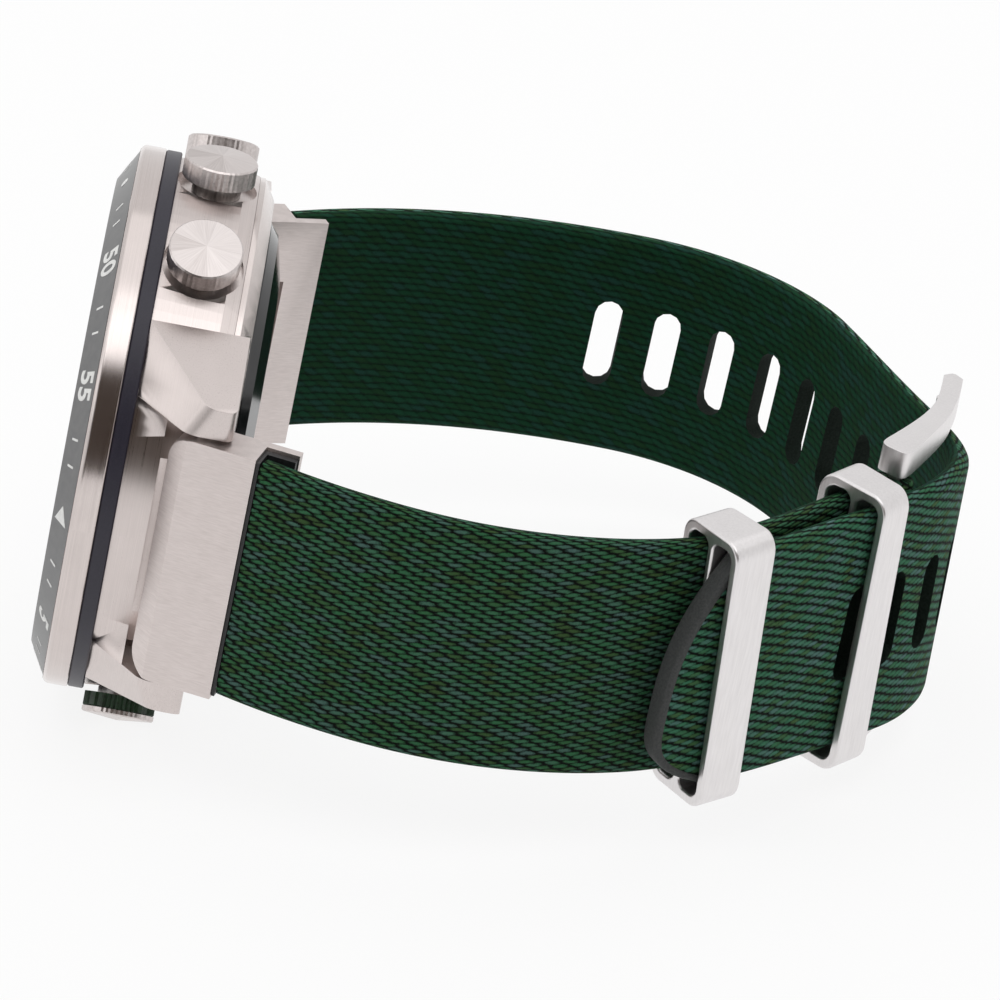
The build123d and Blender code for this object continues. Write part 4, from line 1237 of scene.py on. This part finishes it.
def make_sensor():
    """Light sensor behind the rear glass: a thin ring round dark and coloured lenses."""
    back = max(point.x for point in node_points("rear_window"))
    dark_spots = ((0.0, 0.0), (dark_lens_step, 0.0), (-dark_lens_step, 0.0))
    green_spots = ((0.0, green_lens_step), (0.0, -green_lens_step))
    for label, radius, spots, finish in (
        ("lens_dark", dark_lens_radius, dark_spots, display_black),
        ("lens_green", green_lens_radius, green_spots, board_green),
    ):
        work = bmesh.new()
        for y, z in spots:
            before = set(work.verts)
            bmesh.ops.create_cone(work, cap_ends=True, segments=32, radius1=radius,
                                  radius2=radius - lens_chamfer, depth=lens_thickness)
            fresh = [vertex for vertex in work.verts if vertex not in before]
            bmesh.ops.rotate(work, matrix=Matrix.Rotation(pi / 2, 3, "Y"), verts=fresh)
            bmesh.ops.translate(work, vec=(back, y, z), verts=fresh)
        piece = add_piece(label, work, [finish], ["rear_window"])
    work = bmesh.new()
    front = back - sensor_ring_sunk
    ends = [work.verts.new((front, reach, 0.0)) for reach in (sensor_ring_inner, sensor_ring_outer)]
    edge = work.edges.new(ends)
    bmesh.ops.spin(work, geom=[edge], cent=(0, 0, 0), axis=(1, 0, 0), angle=2 * pi, steps=72,
                   use_merge=True)
    bmesh.ops.remove_doubles(work, verts=work.verts, dist=touch)
    pull(work, work.faces[:], (sensor_ring_thickness, 0, 0))
    ring = add_piece("sensor_ring", work, [turned_titanium], ["rear_window"])


make_bezel_marks()
make_dial()
make_sensor()

# ------------------------------------------------------------ stage, lights and camera, in metres

floor_radius = 2.5
floor_drop = 0.0002
lamp_target = (0.0, 0.0, 0.02)
camera_place = (-0.004595, -0.416468, 0.209673)
camera_turn = (65.0844, -2.7627, 0.8108)
camera_lens = 193.73


def make_floor():
    """Pale floor that looks white by itself and still takes the shadow of the watch."""
    material, tree, shader = new_material("pale_floor", Roughness=0.9)
    shader.inputs["Base Color"].default_value = (0.92, 0.92, 0.92, 1.0)
    glow = node(tree, "Emission")
    glow.inputs["Strength"].default_value = 1.0
    path = node(tree, "LightPath")
    seen = maths(tree, "MAXIMUM", path.outputs["Is Camera Ray"], path.outputs["Is Glossy Ray"])
    mix = node(tree, "MixShader", times(tree, seen, 0.86), shader.outputs[0], glow.outputs[0])
    tree.links.new(mix.outputs[0], tree.nodes["Material Output"].inputs["Surface"])
    work = bmesh.new()
    bmesh.ops.create_circle(work, cap_ends=True, segments=64, radius=floor_radius)
    mesh = bpy.data.meshes.new("floor")
    work.to_mesh(mesh)
    work.free()
    mesh.materials.append(material)
    floor = bpy.data.objects.new("floor", mesh)
    floor.location.z = -floor_drop
    bpy.context.scene.collection.objects.link(floor)


def make_world():
    """Soft white all round, with the dark of the room low in front and a bright box above it."""
    world = bpy.data.worlds.new("studio")
    bpy.context.scene.world = world
    world.use_nodes = True
    tree = world.node_tree
    lit = tree.nodes["Background"]
    parts = node(tree, "SeparateXYZ", node(tree, "TexCoord").outputs["Generated"]).outputs
    toward = fade(tree, parts[1], -0.05, -0.25, 0.0, 1.0)
    narrow = fade(tree, maths(tree, "ABSOLUTE", parts[0]), 0.55, 0.8, 1.0, 0.0)
    front = times(tree, toward, narrow)
    dark = times(tree, fade(tree, parts[2], 0.66, 0.72, 1.0, 0.0), front)
    box_top = fade(tree, parts[2], 0.92, 0.98, 1.0, 0.0)
    box_bottom = fade(tree, parts[2], 0.7, 0.76, 0.0, 1.0)
    box = times(tree, times(tree, box_top, box_bottom), front)
    shade = node(tree, "Mix", data_type="RGBA")
    tree.links.new(dark, shade.inputs[0])
    tree.links.new(spread(tree, box, 0.86, 1.9), shade.inputs[6])
    shade.inputs[7].default_value = (0.05, 0.036, 0.027, 1.0)
    tree.links.new(shade.outputs[2], lit.inputs["Color"])
    white = node(tree, "Background", (1.0, 1.0, 1.0, 1.0), 1.0)
    path = node(tree, "LightPath")
    mix = node(tree, "MixShader", path.outputs["Is Camera Ray"], lit.outputs[0], white.outputs[0])
    tree.links.new(mix.outputs[0], tree.nodes["World Output"].inputs["Surface"])


def add_lamp(name, place, size, power):
    """A square lamp that points at the watch."""
    lamp = bpy.data.lights.new(name, "AREA")
    lamp.shape = "SQUARE"
    lamp.size = size
    lamp.energy = power
    item = bpy.data.objects.new(name, lamp)
    item.location = place
    way = Vector(lamp_target) - Vector(place)
    item.rotation_euler = way.to_track_quat("-Z", "Y").to_euler()
    bpy.context.scene.collection.objects.link(item)


def make_camera():
    camera = bpy.data.cameras.new("camera")
    camera.sensor_width = 36.0
    camera.lens = camera_lens
    camera.clip_start = 0.01
    item = bpy.data.objects.new("camera", camera)
    item.location = camera_place
    item.rotation_euler = Euler([radians(angle) for angle in camera_turn])
    bpy.context.scene.collection.objects.link(item)
    bpy.context.scene.camera = item


make_floor()
make_world()
add_lamp("overhead_box", (0.0, 0.05, 0.6), 0.5, 0.3)
add_lamp("left_box", (-0.6, -0.1, 0.35), 0.4, 0.25)
make_camera()
bpy.context.scene.view_settings.view_transform = "Standard"
